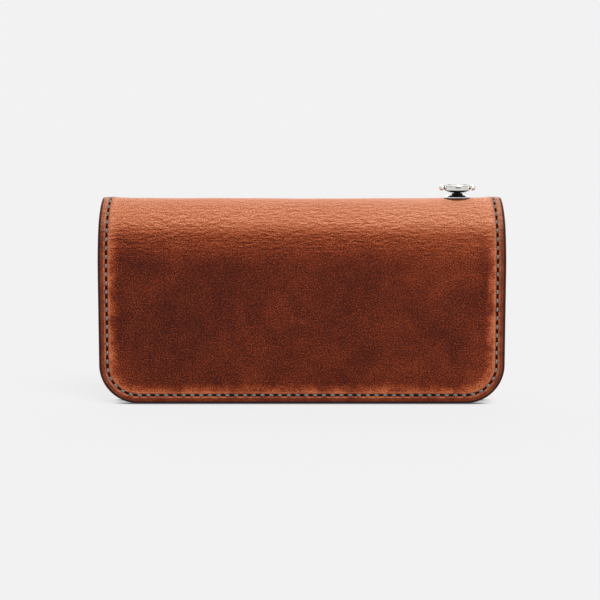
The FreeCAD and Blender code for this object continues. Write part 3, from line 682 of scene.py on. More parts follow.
def sew(name, starts, point_at, lay, depth=0.0, slant=0.16, scale=1.0):
    """Stitches whose middles are at starts along point_at, laid on a surface by lay(x, s, h)."""
    shape = thread_shape() * scale
    points, faces, spans = [], [], []
    step = 0.05 * MM
    for middle in starts:
        x, s = point_at(middle)
        ahead = np.array(point_at(middle + step)) - np.array(point_at(middle - step))
        ahead /= np.linalg.norm(ahead)
        aside = np.array((-ahead[1], ahead[0]))
        turned = ahead * math.cos(slant) + aside * math.sin(slant)
        beside = np.array((-turned[1], turned[0]))
        first = len(points)
        plane = np.array((x, s)) + shape[..., :1] * turned + shape[..., 1:2] * beside
        laid = lay(plane[..., 0], plane[..., 1], shape[..., 2] + depth)
        points.extend(laid.reshape(-1, 3).tolist())
        spans.extend(np.column_stack([shape[..., 0].ravel(), shape[..., 1].ravel()]) / MM)
        rings = [list(range(start, start + THREAD_SIDES))
                 for start in range(first, len(points), THREAD_SIDES)]
        for ring, onward in zip(rings, rings[1:]):
            for k in range(THREAD_SIDES):
                after = (k + 1) % THREAD_SIDES
                faces.append((ring[k], ring[after], onward[after], onward[k]))
        faces += [rings[0][::-1], rings[-1]]
    mesh = bpy.data.meshes.new(name)
    mesh.from_pydata(points, [], faces)
    mesh.polygons.foreach_set("use_smooth", [True] * len(faces))
    lay_of = mesh.attributes.new("thread", "FLOAT_VECTOR", "POINT")
    lay_of.data.foreach_set("vector", np.column_stack([spans, np.zeros(len(spans))]).ravel())
    mesh.materials.append(waxed_thread)
    piece = bpy.data.objects.new(name, mesh)
    bpy.context.scene.collection.objects.link(piece)
    outward_faces(piece)
    return piece


def outward_faces(piece):
    """Recalculate a closed piece's normals outwards, in edit mode."""
    bpy.ops.object.select_all(action="DESELECT")
    bpy.context.view_layer.objects.active = piece
    piece.select_set(True)
    bpy.ops.object.mode_set(mode="EDIT")
    bpy.ops.mesh.select_all(action="SELECT")
    bpy.ops.mesh.normals_make_consistent(inside=False)
    bpy.ops.object.mode_set(mode="OBJECT")
    piece.select_set(False)


def waxed_polyester():
    """Twisted polyester under wax: grey-blue, with plies slanting across it 0.5 mm apart and a
    soft shine."""
    material, tree = new_material("waxed_thread")
    lay_of = add_node(tree, "Attribute", attribute_name="thread")
    turned = add_node(tree, "Mapping", {"Vector": lay_of.outputs["Vector"],
                                        "Rotation": (0, 0, math.radians(32))})
    plies = add_node(tree, "TexWave", {"Vector": turned, "Scale": math.pi / 10 / PLY_PITCH,
                                       "Distortion": 0.6, "Detail": 1})
    plies = plies.outputs["Fac"]
    colour = add_node(tree, "ValToRGB", {"Fac": plies}, stops=[(0.1, "#404a4d"), (0.6, "#667275"),
                                                               (1.0, "#879293")])
    bump = add_node(tree, "Bump", {"Strength": 0.7, "Distance": 0.12 * MM, "Height": plies})
    surface = add_node(tree, "BsdfPrincipled", {"Base Color": colour, "Roughness": 0.5,
                                                "Normal": bump})
    add_node(tree, "OutputMaterial", {"Surface": surface})
    return material


def around(run, side):
    """(x, s) on the whole row of stitches round one half, run metres from the crown."""
    far = run > SEAM_LENGTH / 2
    x, s = seam_point(SEAM_LENGTH - run if far else run)
    return (-x if far else x), s * side


waxed_thread = waxed_polyester()
middles = [(number + 0.5) * STITCH_PITCH for number in range(STITCH_COUNT)]
for place_of, make, side, joint, before, after, nodes in STRIPS:
    low, high = (SEAM, SEAM_LENGTH) if make is make_half_hide else (0, SEAM)
    chosen = [run for run in middles if low <= min(run, SEAM_LENGTH - run) < high]
    stitches = sew("stitches_" + place_of, chosen, lambda run: around(run, side), wrap)
    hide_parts(*THREADS[place_of])
    bend(stitches)

# ---------------------------------------------------------------------------------------------
# Stud on the fold
# Cast silver, polished on the high places and blackened in the low ones; the same black is also
# painted as shade and dark reflection under the head, on its neck, at the gap under the base's rim
# and round the neck's seat. A domed base sits in a seat cut in the crown and is held by a screw
# through a washer; the head turns on the screw.

STUD_X = joints["stud_turn"]["pos_m"][0]


def polished_silver():
    """Cast silver, polished: bright, with a few soft scratches about a millimetre apart."""
    material, tree = new_material("polished_silver")
    spot = add_node(tree, "TexCoord").outputs["Object"]
    drawn_out = add_node(tree, "Mapping", {"Vector": spot, "Scale": (0.25, 1, 1.6)})
    scratches = add_node(tree, "TexNoise", {"Vector": drawn_out, "Scale": 0.9 / MM, "Detail": 3})
    tone = add_node(tree, "ValToRGB", {"Fac": scratches}, stops=[(0.3, "#d3d1cd"),
                                                                 (0.7, "#e6e5e2")])
    rough = add_node(tree, "MapRange", {0: scratches, 1: 0.3, 2: 0.75, 3: 0.10, 4: 0.26})
    bump = add_node(tree, "Bump", {"Strength": 0.25, "Distance": 0.04 * MM, "Height": scratches})
    surface = add_node(tree, "BsdfPrincipled", {"Base Color": tone, "Metallic": 1,
                                                "Roughness": rough, "Normal": bump})
    add_node(tree, "OutputMaterial", {"Surface": surface})
    return material


def blackened_silver():
    """Silver blackened with sulphur and left in the recesses: near black, half shiny. The same black
    is also laid as painted shade and painted dark reflection where the stud faces down or into gaps.
    """
    material, tree = new_material("blackened_silver")
    spot = add_node(tree, "TexCoord").outputs["Object"]
    worn = add_node(tree, "TexNoise", {"Vector": spot, "Scale": 1.4 / MM, "Detail": 4})
    tone = add_node(tree, "ValToRGB", {"Fac": worn}, stops=[(0.35, "#131316"), (0.62, "#2b2b30"),
                                                            (0.8, "#77767a")])
    bump = add_node(tree, "Bump", {"Strength": 0.5, "Distance": 0.05 * MM, "Height": worn})
    surface = add_node(tree, "BsdfPrincipled", {"Base Color": tone, "Metallic": 0.85,
                                                "Roughness": 0.33, "Normal": bump})
    add_node(tree, "OutputMaterial", {"Surface": surface})
    return material


def spin_piece(name, profile, materials, steps=72, dark=(), place=None):
    """Turn (radius, height) pairs in millimetres round Z in edit mode; dark lists the segments of
    the profile that take the second material. place moves the finished mesh."""
    mesh = bpy.data.meshes.new(name)
    mesh.from_pydata([(radius * MM, 0, height * MM) for radius, height in profile],
                     [(k, k + 1) for k in range(len(profile) - 1)], [])
    piece = bpy.data.objects.new(name, mesh)
    bpy.context.scene.collection.objects.link(piece)
    bpy.ops.object.select_all(action="DESELECT")
    bpy.context.view_layer.objects.active = piece
    piece.select_set(True)
    bpy.ops.object.mode_set(mode="EDIT")
    bpy.ops.mesh.select_all(action="SELECT")
    bpy.ops.mesh.spin(steps=steps, angle=2 * math.pi, center=(0, 0, 0), axis=(0, 0, 1))
    bpy.ops.mesh.select_all(action="SELECT")
    bpy.ops.mesh.remove_doubles(threshold=0.002 * MM)
    bpy.ops.mesh.normals_make_consistent(inside=False)
    bpy.ops.object.mode_set(mode="OBJECT")
    bpy.ops.object.shade_smooth_by_angle(angle=math.radians(38))
    piece.select_set(False)
    for material in materials:
        mesh.materials.append(material)
    middles = [(Vector(start) + Vector(end)) / 2 for start, end in zip(profile, profile[1:])]
    for face in mesh.polygons if dark else ():
        corners = [mesh.vertices[v].co / MM for v in face.vertices]
        radii = [math.hypot(corner.x, corner.y) for corner in corners]
        heights = [corner.z for corner in corners]
        middle = Vector((min(radii) + max(radii), min(heights) + max(heights))) / 2
        segment = min(range(len(middles)), key=lambda k: (middles[k] - middle).length)
        face.material_index = int(segment in dark)
    if place is not None:
        mesh.transform(place)
    return piece


def round_over(profile, radius, steps=4):
    """The profile with its inner corners rounded off."""
    rounded = [profile[0]]
    for before, corner, after in zip(profile, profile[1:], profile[2:]):
        before, corner, after = Vector(before), Vector(corner), Vector(after)
        reach = min(radius, (corner - before).length * 0.45, (after - corner).length * 0.45)
        start = corner + (before - corner).normalized() * reach
        end = corner + (after - corner).normalized() * reach
        for k in range(steps + 1):
            t = k / steps
            point = start * (1 - t) ** 2 + corner * 2 * t * (1 - t) + end * t ** 2
            rounded.append((point.x, point.y))
    return rounded + [profile[-1]]


def heights(node):
    """The foot and top of a node in millimetres."""
    low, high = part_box(node)
    return low[2] / MM, high[2] / MM


silver = [polished_silver(), blackened_silver()]
at_stud = Matrix.Translation((STUD_X, 0, 0))
base_foot, base_top = heights("stud_base")
base_radius = (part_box("stud_base")[1][0] - STUD_X) / MM
# a foot to the rim painted black as the shadow in the gap over the leather, a polished dome, and a
# groove round the neck's seat that is both blackened in its low place and painted dark as the
# reflection of the head's black underside
dome = [(2.2, base_foot), (base_radius, base_foot), (base_radius, base_foot + 0.28),
        (base_radius - 0.06, base_foot + 0.62)]
for share in (turn / 9 for turn in range(1, 9)):
    dome.append((base_radius - 0.12 - (base_radius - 3.7) * share,
                 base_foot + 0.78 + (base_top - base_foot - 0.88) * math.sin(share * 1.5)))
dome += [(3.62, base_top - 0.42), (3.2, base_top - 0.42), (2.95, base_top), (2.2, base_top)]
stud_base = spin_piece("stud_base_dome", dome, silver, dark=(1, 12, 13), steps=96, place=at_stud)
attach(stud_base, "spine_crown")
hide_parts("stud_base")

screw_foot, screw_top = heights("stud_screw")
washer_foot, washer_top = heights("stud_backing_washer")
head_foot, head_top = heights("stud_head")
neck_top = head_foot - 0.3
screw = spin_piece("stud_screw_turned", round_over([
    (0, screw_foot + 0.25), (1.9, screw_foot + 0.25), (2.1, screw_foot), (3.3, screw_foot),
    (3.6, screw_foot + 0.5), (3.6, washer_foot), (2.0, washer_foot), (2.0, base_top - 0.1),
    (2.75, base_top), (2.45, base_top + 0.5), (2.55, neck_top - 0.1), (2.2, neck_top),
    (1.5, neck_top), (1.5, screw_top - 0.6), (2.2, screw_top - 0.6), (2.2, screw_top),
    (0, screw_top)], 0.15, 2), silver, steps=64, place=at_stud)
# the neck above the base takes the black as painted shade and dark reflection under the head
for face in screw.data.polygons:
    face.material_index = int(face.center.z > base_top * MM)
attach(screw, "spine_crown")
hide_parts("stud_screw")

washer = spin_piece("stud_washer_turned", round_over([
    (2.2, washer_foot), (4.9, washer_foot), (5.0, washer_foot + 0.5), (4.9, washer_foot + 1.0),
    (2.2, washer_top - 0.1), (2.2, washer_foot)], 0.2, 2), silver[:1], steps=64, place=at_stud)
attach(washer, "spine_crown")
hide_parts("stud_backing_washer")

# the head: a drum with a fluted rosette on top, a shallow cone below and a ball at each side
DRUM = 5.9
PETALS = 12
ROSETTE, ROSETTE_DIP = 4.7, 0.42
BALL, BALL_REACH = 1.5, 7.2
drum_foot = head_foot + 0.8
profile = [(1.8, head_foot + 1.2), (1.8, head_foot), (3.75, head_foot), (5.55, drum_foot - 0.05),
           (DRUM, drum_foot + 0.25), (DRUM, head_top - 0.95), (DRUM - 0.08, head_top - 0.75),
           (DRUM, head_top - 0.55), (5.75, head_top - 0.18), (5.45, head_top - 0.02),
           (5.15, head_top - 0.05), (4.95, head_top - 0.40), (ROSETTE, head_top - ROSETTE_DIP)]
for radius in (4.4, 4.0, 3.6, 3.2, 2.8, 2.4, 2.0):
    rise = 0.30 * math.sin((ROSETTE - radius) / 3.1 * math.pi / 2)
    profile.append((radius, head_top - ROSETTE_DIP + rise))
profile += [(1.75, head_top - ROSETTE_DIP), (1.5, head_top - ROSETTE_DIP),
            (1.3, head_top - 0.12), (0.8, head_top - 0.01), (0.0, head_top)]
# the hole, the foot and the cone under the drum are black as painted shade and dark reflection; the
# grooves inside the rim and round the rosette's boss are blackened low places
head = spin_piece("stud_head_cast", profile, silver, steps=120,
                  dark=(0, 1, 2, 3, 10, 11, 20, 21))
for vertex in head.data.vertices:
    reach = math.hypot(vertex.co.x, vertex.co.y) / MM
    if 1.9 < reach < 4.65 and vertex.co.z > (head_top - 0.6) * MM:
        turn = math.atan2(vertex.co.y, vertex.co.x)
        flute = abs(math.cos(turn * PETALS / 2)) - 0.6
        vertex.co.z += 0.26 * MM * flute * math.sin((reach - 1.9) / 2.75 * math.pi)
parts = [head]
middle = (drum_foot + head_top) / 2
outline_of_ball = [(BALL * math.sin(turn), -BALL * math.cos(turn))
                   for turn in np.linspace(0, math.pi, 15)]
for turned in (0, math.pi):
    lobe = spin_piece("stud_lobe", outline_of_ball, silver, steps=28)
    lobe.data.transform(Matrix.Rotation(math.pi / 2, 4, "Y"))
    for vertex in lobe.data.vertices:
        vertex.co.z *= 1.0 - 0.10 * (vertex.co.x < 0)
    lobe.data.transform(Matrix.Translation((BALL_REACH * MM, 0, middle * MM)))
    # a black collar where each ball meets the drum, painted as the shade in the gap between them
    collar = spin_piece("stud_collar", round_over([
        (0.1, 0), (1.05, 0), (1.05, 0.5), (0.1, 0.5)], 0.1, 2), silver[1:], steps=24)
    collar.data.transform(Matrix.Translation((5.55 * MM, 0, middle * MM)) @
                          Matrix.Rotation(math.pi / 2, 4, "Y"))
    # a flat black dash laid on the drum's side at mid height, painted as a line of shade
    shade_dash = spin_piece("stud_recess", outline_of_ball, silver[1:], steps=24)
    shade_dash.data.transform(Matrix.Translation((0, -5.72 * MM, (middle + 0.1) * MM)) @
                          Matrix.Diagonal((0.95, 0.17, 0.24, 1)))
    for part in (lobe, collar, shade_dash):
        part.data.transform(Matrix.Rotation(turned, 4, "Z"))
        parts.append(part)


def merge(pieces):
    """Join pieces into the first one."""
    bpy.ops.object.select_all(action="DESELECT")
    for piece in pieces:
        piece.select_set(True)
    bpy.context.view_layer.objects.active = pieces[0]
    bpy.ops.object.join()
    pieces[0].select_set(False)
    return pieces[0]


merge(parts)
head.data.transform(at_stud)
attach(head, "stud_cap")
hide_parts("stud_head")

# ---------------------------------------------------------------------------------------------
# Inner leather panels
# The pocket's back wall and the four card panels: thin calf, cut to the wallet's outline, with
# rounded, painted edges and a line creased with a hot iron under each mouth.

HINGE_Z = BACK_HINGE.z


def half_matrix(side):
    """From a half's own axes (along, inward from the outer face, up from the hinge) to world."""
    inward = Vector((0, side * math.cos(LEAN), math.sin(LEAN)))
    up = Vector((0, -side * math.sin(LEAN), math.cos(LEAN)))
    along = inward.cross(up)
    turned = Matrix((along, inward, up)).transposed().to_4x4()
    return Matrix.Translation((0, side * BACK_HINGE.y, HINGE_Z)) @ turned


def up_of(z, depth):
    """Height above the hinge line in a half's own axes, from world height."""
    return (z - HINGE_Z - depth * math.sin(LEAN)) / math.cos(LEAN)


def panel_outline(drop, depth, inset, dip=0.0, samples=24):
    """(along, up) points of a panel: its mouth, then down one side and round to the other."""
    points = []
    reach = CORNER - inset
    top_z = HINGE_Z + depth * math.sin(LEAN) - drop * math.cos(LEAN)
    for z in np.linspace(top_z, CORNER, samples):
        points.append((half_width(z) - inset, up_of(z, depth)))
    for turn in np.linspace(0, math.pi / 2, 14)[1:]:
        points.append((HALF_LENGTH - CORNER + reach * math.cos(turn),
                       up_of(CORNER - reach * math.sin(turn), depth)))
    other = [(-x, up) for x, up in points[::-1]]
    mouth = []
    for x in np.linspace(-points[0][0], points[0][0], 49)[1:-1]:
        sag = math.sin(math.pi * x / points[0][0]) ** 2
        mouth.append((x, points[0][1] - dip * sag))
    return [(float(x), float(up)) for x, up in points + other + mouth]


def plate(name, outlines, near, far, edge=0.2 * MM, steps=2):
    """A flat plate with rounded edges between two depths; outlines after the first are holes."""
    curve = bpy.data.curves.new(name, "CURVE")
    curve.dimensions, curve.fill_mode = "2D", "BOTH"
    curve.bevel_depth, curve.bevel_resolution = edge, steps
    curve.extrude, curve.offset = (far - near) / 2 - edge, -edge
    for outline in outlines:
        line = curve.splines.new("POLY")
        line.points.add(len(outline) - 1)
        for point, (x, up) in zip(line.points, outline):
            point.co = (x, up, 0, 1)
        line.use_cyclic_u = True
    piece = bpy.data.objects.new(name, curve)
    bpy.context.scene.collection.objects.link(piece)
    bpy.ops.object.select_all(action="DESELECT")
    bpy.context.view_layer.objects.active = piece
    piece.select_set(True)
    bpy.ops.object.convert(target="MESH")
    bpy.ops.object.mode_set(mode="EDIT")
    bpy.ops.mesh.select_all(action="SELECT")
    bpy.ops.mesh.remove_doubles(threshold=0.001 * MM)
    bpy.ops.mesh.normals_make_consistent(inside=False)
    bpy.ops.object.mode_set(mode="OBJECT")
    piece = bpy.context.view_layer.objects.active
    bpy.ops.object.shade_smooth_by_angle(angle=math.radians(40))
    piece.select_set(False)
    piece.data.transform(Matrix(((1, 0, 0, 0), (0, 0, -1, (near + far) / 2), (0, 1, 0, 0),
                                 (0, 0, 0, 1))))
    return piece


def finish(piece, side, body, materials, slot, *nodes):
    """Set a piece made in a half's axes into the wallet, riding its body."""
    piece.data.transform(half_matrix(side))
    piece.data.materials.clear()
    for material in materials:
        piece.data.materials.append(material)
    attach(piece, body)
    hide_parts(*nodes)
    return piece


def plated_calf(name, mouth_z, dark, light, painted=True):
    """Calf with a fine plated grain; a hot-creased line runs 2 mm under the mouth, and its cut
    edges are painted dark."""
    material, tree = new_material(name)
    texture = add_node(tree, "TexCoord")
    spot = texture.outputs["Object"]
    in_mm = add_node(tree, "VectorMath", {0: spot, 1: (1000, 1000, 1000)}, operation="MULTIPLY")
    grain = add_node(tree, "TexNoise", {"Vector": in_mm, "Scale": 1 / 0.7, "Detail": 4,
                                        "Roughness": 0.66})
    clouds = add_node(tree, "TexNoise", {"Vector": in_mm, "Scale": 1 / 18, "Detail": 3,
                                         "Roughness": 0.6})
    tone = add_node(tree, "Math", {0: clouds, 1: 0.4}, operation="MULTIPLY")
    tone = add_node(tree, "Math", {0: grain, 1: 0.8, 2: tone}, operation="MULTIPLY_ADD")
    tone = add_node(tree, "Math", {0: tone, 1: 0.1}, operation="SUBTRACT")
    colour = add_node(tree, "ValToRGB", {"Fac": tone}, stops=[(0.32, dark), (0.68, light)])

    height_up = add_node(tree, "SeparateXYZ", {0: spot}).outputs[2]
    below = add_node(tree, "Math", {0: mouth_z, 1: height_up}, operation="SUBTRACT")
    crease = add_node(tree, "Math", {0: below, 1: 2 * MM}, operation="SUBTRACT")
    crease = add_node(tree, "Math", {0: crease}, operation="ABSOLUTE")
    crease = add_node(tree, "MapRange", {0: crease, 1: 0.35 * MM, 2: 0.08 * MM}, **SOFT)
    edge = add_node(tree, "MapRange", {0: below, 1: 0.55 * MM, 2: 0.15 * MM}, **SOFT)
    if painted:
        through = add_node(tree, "SeparateXYZ", {0: texture.outputs["Normal"]}).outputs[1]
        through = add_node(tree, "Math", {0: through}, operation="ABSOLUTE")
        cut = add_node(tree, "MapRange", {0: through, 1: 0.75, 2: 0.45}, **SOFT)
        edge = add_node(tree, "Math", {0: edge, 1: cut}, operation="MAXIMUM")
    burnt_line = add_node(tree, "Math", {0: crease, 1: 0.75}, operation="MULTIPLY")
    for amount, over in ((burnt_line, "#24120c"), (edge, "#2a1712")):
        colour = add_node(tree, "Mix", {0: amount, 6: colour, 7: over}, data_type="RGBA")

    rough = add_node(tree, "MapRange", {0: grain, 1: 0.3, 2: 0.7, 3: 0.42, 4: 0.58}, **SOFT)
    height = add_node(tree, "Math", {0: crease, 1: -2.2, 2: grain}, operation="MULTIPLY_ADD")
    bump = add_node(tree, "Bump", {"Strength": 0.6, "Distance": 0.14 * MM, "Height": height})
    surface = add_node(tree, "BsdfPrincipled", {"Base Color": colour, "Roughness": rough,
                                                "Specular IOR Level": 0.35, "Normal": bump})
    add_node(tree, "OutputMaterial", {"Surface": surface})
    return material


def drop_of(node, far_side):
    """How far a node's top lies under the hinge line, from its box and its far side's depth."""
    return (HINGE_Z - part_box(node)[1][2] + far_side * math.sin(LEAN)) / math.cos(LEAN)


# depth of each panel in its half, its thickness and how far its mouth dips, in millimetres
tiers = []
for node, body, side, depth, thick, dip in (
    ("coin_back_wall", "back_half", 1, 3.2, 1.0, 0.0),
    ("card_base_panel", "front_half", -1, 3.2, 1.0, 0.0),
    ("card_tier_rear", "front_half", -1, 4.3, 0.9, 0.9),
    ("card_tier_middle", "front_half", -1, 5.3, 0.9, 0.9),
    ("card_tier_front", "front_half", -1, 6.3, 0.9, 0.9),
):
    drop = drop_of(node, (depth + thick) * MM)
    near, far = (depth + 0.02) * MM, (depth + thick + 0.06) * MM
    outline = panel_outline(drop, depth * MM, 0.12 * MM, dip * MM)
    piece = plate("panel_" + node, [outline], near, far, 0.28 * MM)
    leather = plated_calf("calf_" + node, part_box(node)[1][2], "#582c1b", "#7c4529")
    finish(piece, side, body, [leather], "panel_leather", node)
    if body == "front_half":
        tiers.append((drop, far))

# ---------------------------------------------------------------------------------------------
# Coin pocket
# The front wall is one sheet wet-moulded over a block: a flat sewn rim, a raised box with soft
# corners, and a long window for the zip, its edge turned in and sewn round.

POCKET_RIM = 5.35 * MM
POCKET_FACE = 10.3 * MM
POCKET_WALL = 1.1 * MM
POCKET_HALF = 84 * MM
POCKET_DROP = drop_of("coin_front_wall", POCKET_FACE)
POCKET_FOOT = HINGE_Z - 20 * MM
ZIP_DROP = 13.8 * MM
WINDOW_HALF = 76.9 * MM
WINDOW_WIDTH = 9 * MM
WINDOW_SEAM = 1.2 * MM
FINE_PITCH = 2.9 * MM
SNAP_DROP = (HINGE_Z - 12 * MM) / math.cos(LEAN)
LONG, SHORT, ROUND = 48, 20, 8


def round_box_loop(half, top, foot, radius, depth):
    """A rounded rectangle as LONG + SHORT samples per side and ROUND per corner, anticlockwise
    from the lower right corner; heights are drops under the hinge."""
    points = []
    radius = max(radius, 0.01 * MM)
    centres = [(half - radius, -foot + radius, -math.pi / 2), (half - radius, -top - radius, 0),
               (radius - half, -top - radius, math.pi / 2), (radius - half, -foot + radius, math.pi)]
    for k, (x, up, start) in enumerate(centres):
        for turn in np.linspace(start, start + math.pi / 2, ROUND + 1):
            points.append((x + radius * math.cos(turn), depth, up + radius * math.sin(turn)))
        count = SHORT if k % 2 == 0 else LONG
        nx, nup, nstart = centres[(k + 1) % 4]
        begin = points[-1]
        end = (nx + radius * math.cos(nstart), depth, nup + radius * math.sin(nstart))
        for t in np.linspace(0, 1, count + 1)[1:-1]:
            points.append(tuple(a + (b - a) * t for a, b in zip(begin, end)))
    return points


def outline_loop(inset, drop, depth):
    """The wallet's outline with as many samples, in the same order, as round_box_loop."""
    corner_up = up_of(CORNER, depth)
    reach = CORNER - inset
    right = []
    for turn in np.linspace(-math.pi / 2, 0, ROUND + 1):
        right.append((HALF_LENGTH - CORNER + reach * math.cos(turn),
                      up_of(CORNER + reach * math.sin(turn), depth)))
    top_up = -drop
    for t in np.linspace(0, 1, SHORT + 1)[1:-1]:
        up = corner_up + (top_up - corner_up) * t
        z = HINGE_Z + depth * math.sin(LEAN) + up * math.cos(LEAN)
        right.append((float(half_width(z)) - inset, up))
    z = HINGE_Z + depth * math.sin(LEAN) + top_up * math.cos(LEAN)
    far = float(half_width(z)) - inset
    for t in np.linspace(0, 1, ROUND + 1):
        right.append((far - 0.6 * MM * t ** 2, top_up))
    top = [(far - 0.6 * MM + (0.6 * MM - far) * 2 * t, top_up)
           for t in np.linspace(0, 1, LONG + 1)[1:-1]]
    left = [(-x, up) for x, up in right[::-1]]
    foot_y = left[-1][1]
    foot = [(left[-1][0] + (right[0][0] - left[-1][0]) * t, foot_y)
            for t in np.linspace(0, 1, LONG + 1)[1:-1]]
    return [(x, depth, up) for x, up in right + top + left + foot]


def loft(name, loops, closed=True):
    """Quads between loops of equally many points; closed joins the last loop to the first."""
    points = [p for loop in loops for p in loop]
    count = len(loops[0])
    faces = []
    for row in range(len(loops) if closed else len(loops) - 1):
        below = (row + 1) % len(loops) * count
        for k in range(count):
            after = (k + 1) % count
            faces.append((row * count + k, row * count + after, below + after, below + k))
    mesh = bpy.data.meshes.new(name)
    mesh.from_pydata(points, [], faces)
    piece = bpy.data.objects.new(name, mesh)
    bpy.context.scene.collection.objects.link(piece)
    outward_faces(piece)
    bpy.context.view_layer.objects.active = piece
    piece.select_set(True)
    bpy.ops.object.shade_smooth_by_angle(angle=math.radians(50))
    piece.select_set(False)
    return piece


def pocket_swell(points):
    """The pocket's face swells softly between its corners, more near the foot."""
    swollen = []
    for x, depth, up in points:
        share = (1 - (x / POCKET_HALF) ** 4) * (1 - ((up + 42 * MM) / (30 * MM)) ** 2)
        swollen.append((x, depth + 0.28 * MM * max(share, 0), up))
    return swollen


# loops from the back of the rim outwards: the rim, the wall's rounded foot, its rounded top, the
# swelling face, the window's turned-in edge, and back down the inside
top_rim, rim_back = POCKET_DROP, 4.32 * MM
window_top, window_foot = ZIP_DROP - WINDOW_WIDTH / 2, ZIP_DROP + WINDOW_WIDTH / 2
inside = POCKET_FACE - POCKET_WALL
loops = [outline_loop(0.45 * MM, top_rim + 0.05 * MM, rim_back),
         outline_loop(0.15 * MM, top_rim, rim_back + 0.3 * MM),
         outline_loop(0.15 * MM, top_rim, POCKET_RIM - 0.35 * MM),
         outline_loop(0.30 * MM, top_rim + 0.05 * MM, POCKET_RIM - 0.08 * MM),
         outline_loop(0.70 * MM, top_rim + 0.12 * MM, POCKET_RIM),
         round_box_loop(POCKET_HALF + 1.6 * MM, top_rim + 0.2 * MM, POCKET_FOOT + 1.6 * MM,
                        8.6 * MM, POCKET_RIM + 0.05 * MM)]
for t in np.linspace(0, 1, 7):
    angle = t * math.pi / 2
    loops.append(round_box_loop(POCKET_HALF + (1.2 - 1.2 * math.sin(angle)) * MM,
                                top_rim + 0.3 * MM,
                                POCKET_FOOT + (1.2 - 1.2 * math.sin(angle)) * MM, 8 * MM,
                                POCKET_RIM + (0.1 + 1.1 * (1 - math.cos(angle))) * MM))
for t in np.linspace(0.1, 1, 8):
    angle = t * math.pi / 2
    shrink = 2.0 * MM * (1 - math.cos(angle))
    loops.append(round_box_loop(POCKET_HALF - shrink, top_rim + 0.3 * MM + shrink * 0.8,
                                POCKET_FOOT - shrink, 8 * MM - shrink * 0.5,
                                POCKET_FACE - 2.0 * MM * (1 - math.sin(angle))))
for t in np.linspace(0, 1, 9)[1:-1]:
    loops.append(pocket_swell(round_box_loop(
        POCKET_HALF - 2 * MM + (WINDOW_HALF + 3.2 * MM - POCKET_HALF + 2 * MM) * t,
        top_rim + 1.9 * MM + (window_top - 1.8 * MM - top_rim - 1.9 * MM) * t,
        POCKET_FOOT - 2 * MM + (window_foot + 3.2 * MM - POCKET_FOOT + 2 * MM) * t,
        7 * MM - 4 * MM * t, POCKET_FACE)))
for spread, depth in ((1.9, 0.0), (1.5, -0.16), (1.2, -0.20), (0.9, -0.14), (0.45, 0.0),
                      (0.15, -0.06), (0.0, -0.25), (0.0, -0.85), (0.2, -1.1)):
    loops.append(round_box_loop(WINDOW_HALF + spread * MM, window_top - spread * MM,
                                window_foot + spread * MM, (0.6 + spread * 0.8) * MM,
                                POCKET_FACE + depth * MM))
loops += [round_box_loop(POCKET_HALF - 2 * MM, top_rim + 1.8 * MM, POCKET_FOOT - 2 * MM, 6 * MM,
                         inside),
          round_box_loop(POCKET_HALF - POCKET_WALL, top_rim + 1.4 * MM,
                         POCKET_FOOT - POCKET_WALL, 7 * MM, inside - 1 * MM),
          round_box_loop(POCKET_HALF - POCKET_WALL, top_rim + 1.4 * MM,
                         POCKET_FOOT - POCKET_WALL, 7 * MM, rim_back)]
pocket = loft("coin_pocket_moulded", loops)
pocket_calf = plated_calf("calf_coin_pocket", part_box("coin_front_wall")[1][2], "#5c2f1d",
                          "#824a2c", painted=False)
finish(pocket, 1, "back_half", [pocket_calf], "panel_leather", "coin_front_wall")


def lay_in_half(side, depth_at):
    """lay() for sew(): a plane inside a half, at a depth that may change with the drop."""
    matrix = np.array(half_matrix(side))

    def lay(x, drop, h):
        x, drop, h = np.broadcast_arrays(x, drop, h)
        local = np.stack([x, depth_at(drop) + h, -drop, np.ones_like(x)], -1)
        return (local @ matrix.T)[..., :3]
    return lay


seam_half, seam_rise = WINDOW_HALF + WINDOW_SEAM, WINDOW_WIDTH / 2 + WINDOW_SEAM


def window_row(run):
    """(x, drop) round the window, a little outside its edge."""
    sides = [2 * seam_half, 2 * seam_rise, 2 * seam_half, 2 * seam_rise]
    run = run % sum(sides)
    for k, length in enumerate(sides):
        if run <= length:
            break
        run -= length
    return [(run - seam_half, ZIP_DROP - seam_rise), (seam_half, ZIP_DROP - seam_rise + run),
            (seam_half - run, ZIP_DROP + seam_rise), (-seam_half, ZIP_DROP + seam_rise - run)][k]


around_window = 4 * (seam_half + seam_rise)
count = round(around_window / FINE_PITCH)
window_stitches = sew("stitches_window", [(k + 0.5) * around_window / count for k in range(count)],
                      window_row, lay_in_half(1, lambda drop: POCKET_FACE + 0.12 * MM),
                      scale=0.68)
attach(window_stitches, "back_half")
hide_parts("thread_zip")


def inner_depth(drop):
    """The front half's inner face: one card panel after another, from the hinge down."""
    depth = tiers[0][1]
    for start, face in tiers[1:]:
        depth = np.where(drop > start - 0.3 * MM, face, depth)
    return depth


def inner_row(run):
    """(x, drop) of the outer row of stitches, where it comes through inside."""
    x, s = around(run, 1)
    return x, s - ARC_END


for side, body, depth_at, start in (
    (1, "back_half", lambda drop: POCKET_RIM, POCKET_DROP),
    (-1, "front_half", inner_depth, tiers[0][0]),
):
    low = ARC_END + start + 1.5 * MM
    chosen = [run for run in middles if low < min(run, SEAM_LENGTH - run)]
    inner = sew("stitches_inside_" + body, chosen, inner_row, lay_in_half(side, depth_at),
                depth=0.1 * MM)
    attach(inner, body)

# between the cards, down to the press fastener, missing the panels' mouths
divider = [run for run in np.arange(tiers[1][0] + 2.2 * MM, SNAP_DROP - 7.6 * MM, FINE_PITCH)
           if all(abs(run - drop) > 1.5 * MM for drop, face in tiers[1:])]
divider_stitches = sew("stitches_divider", divider, lambda run: (0.0, run),
                       lay_in_half(-1, inner_depth), depth=0.1 * MM, scale=0.75)
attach(divider_stitches, "front_half")
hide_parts("thread_card_divider")

# ---------------------------------------------------------------------------------------------
# Zip
# Woven polyester tape with brass teeth clamped on its corded edge, a top and a bottom stop, and
# a cast brass slider that carries the pull on a post.


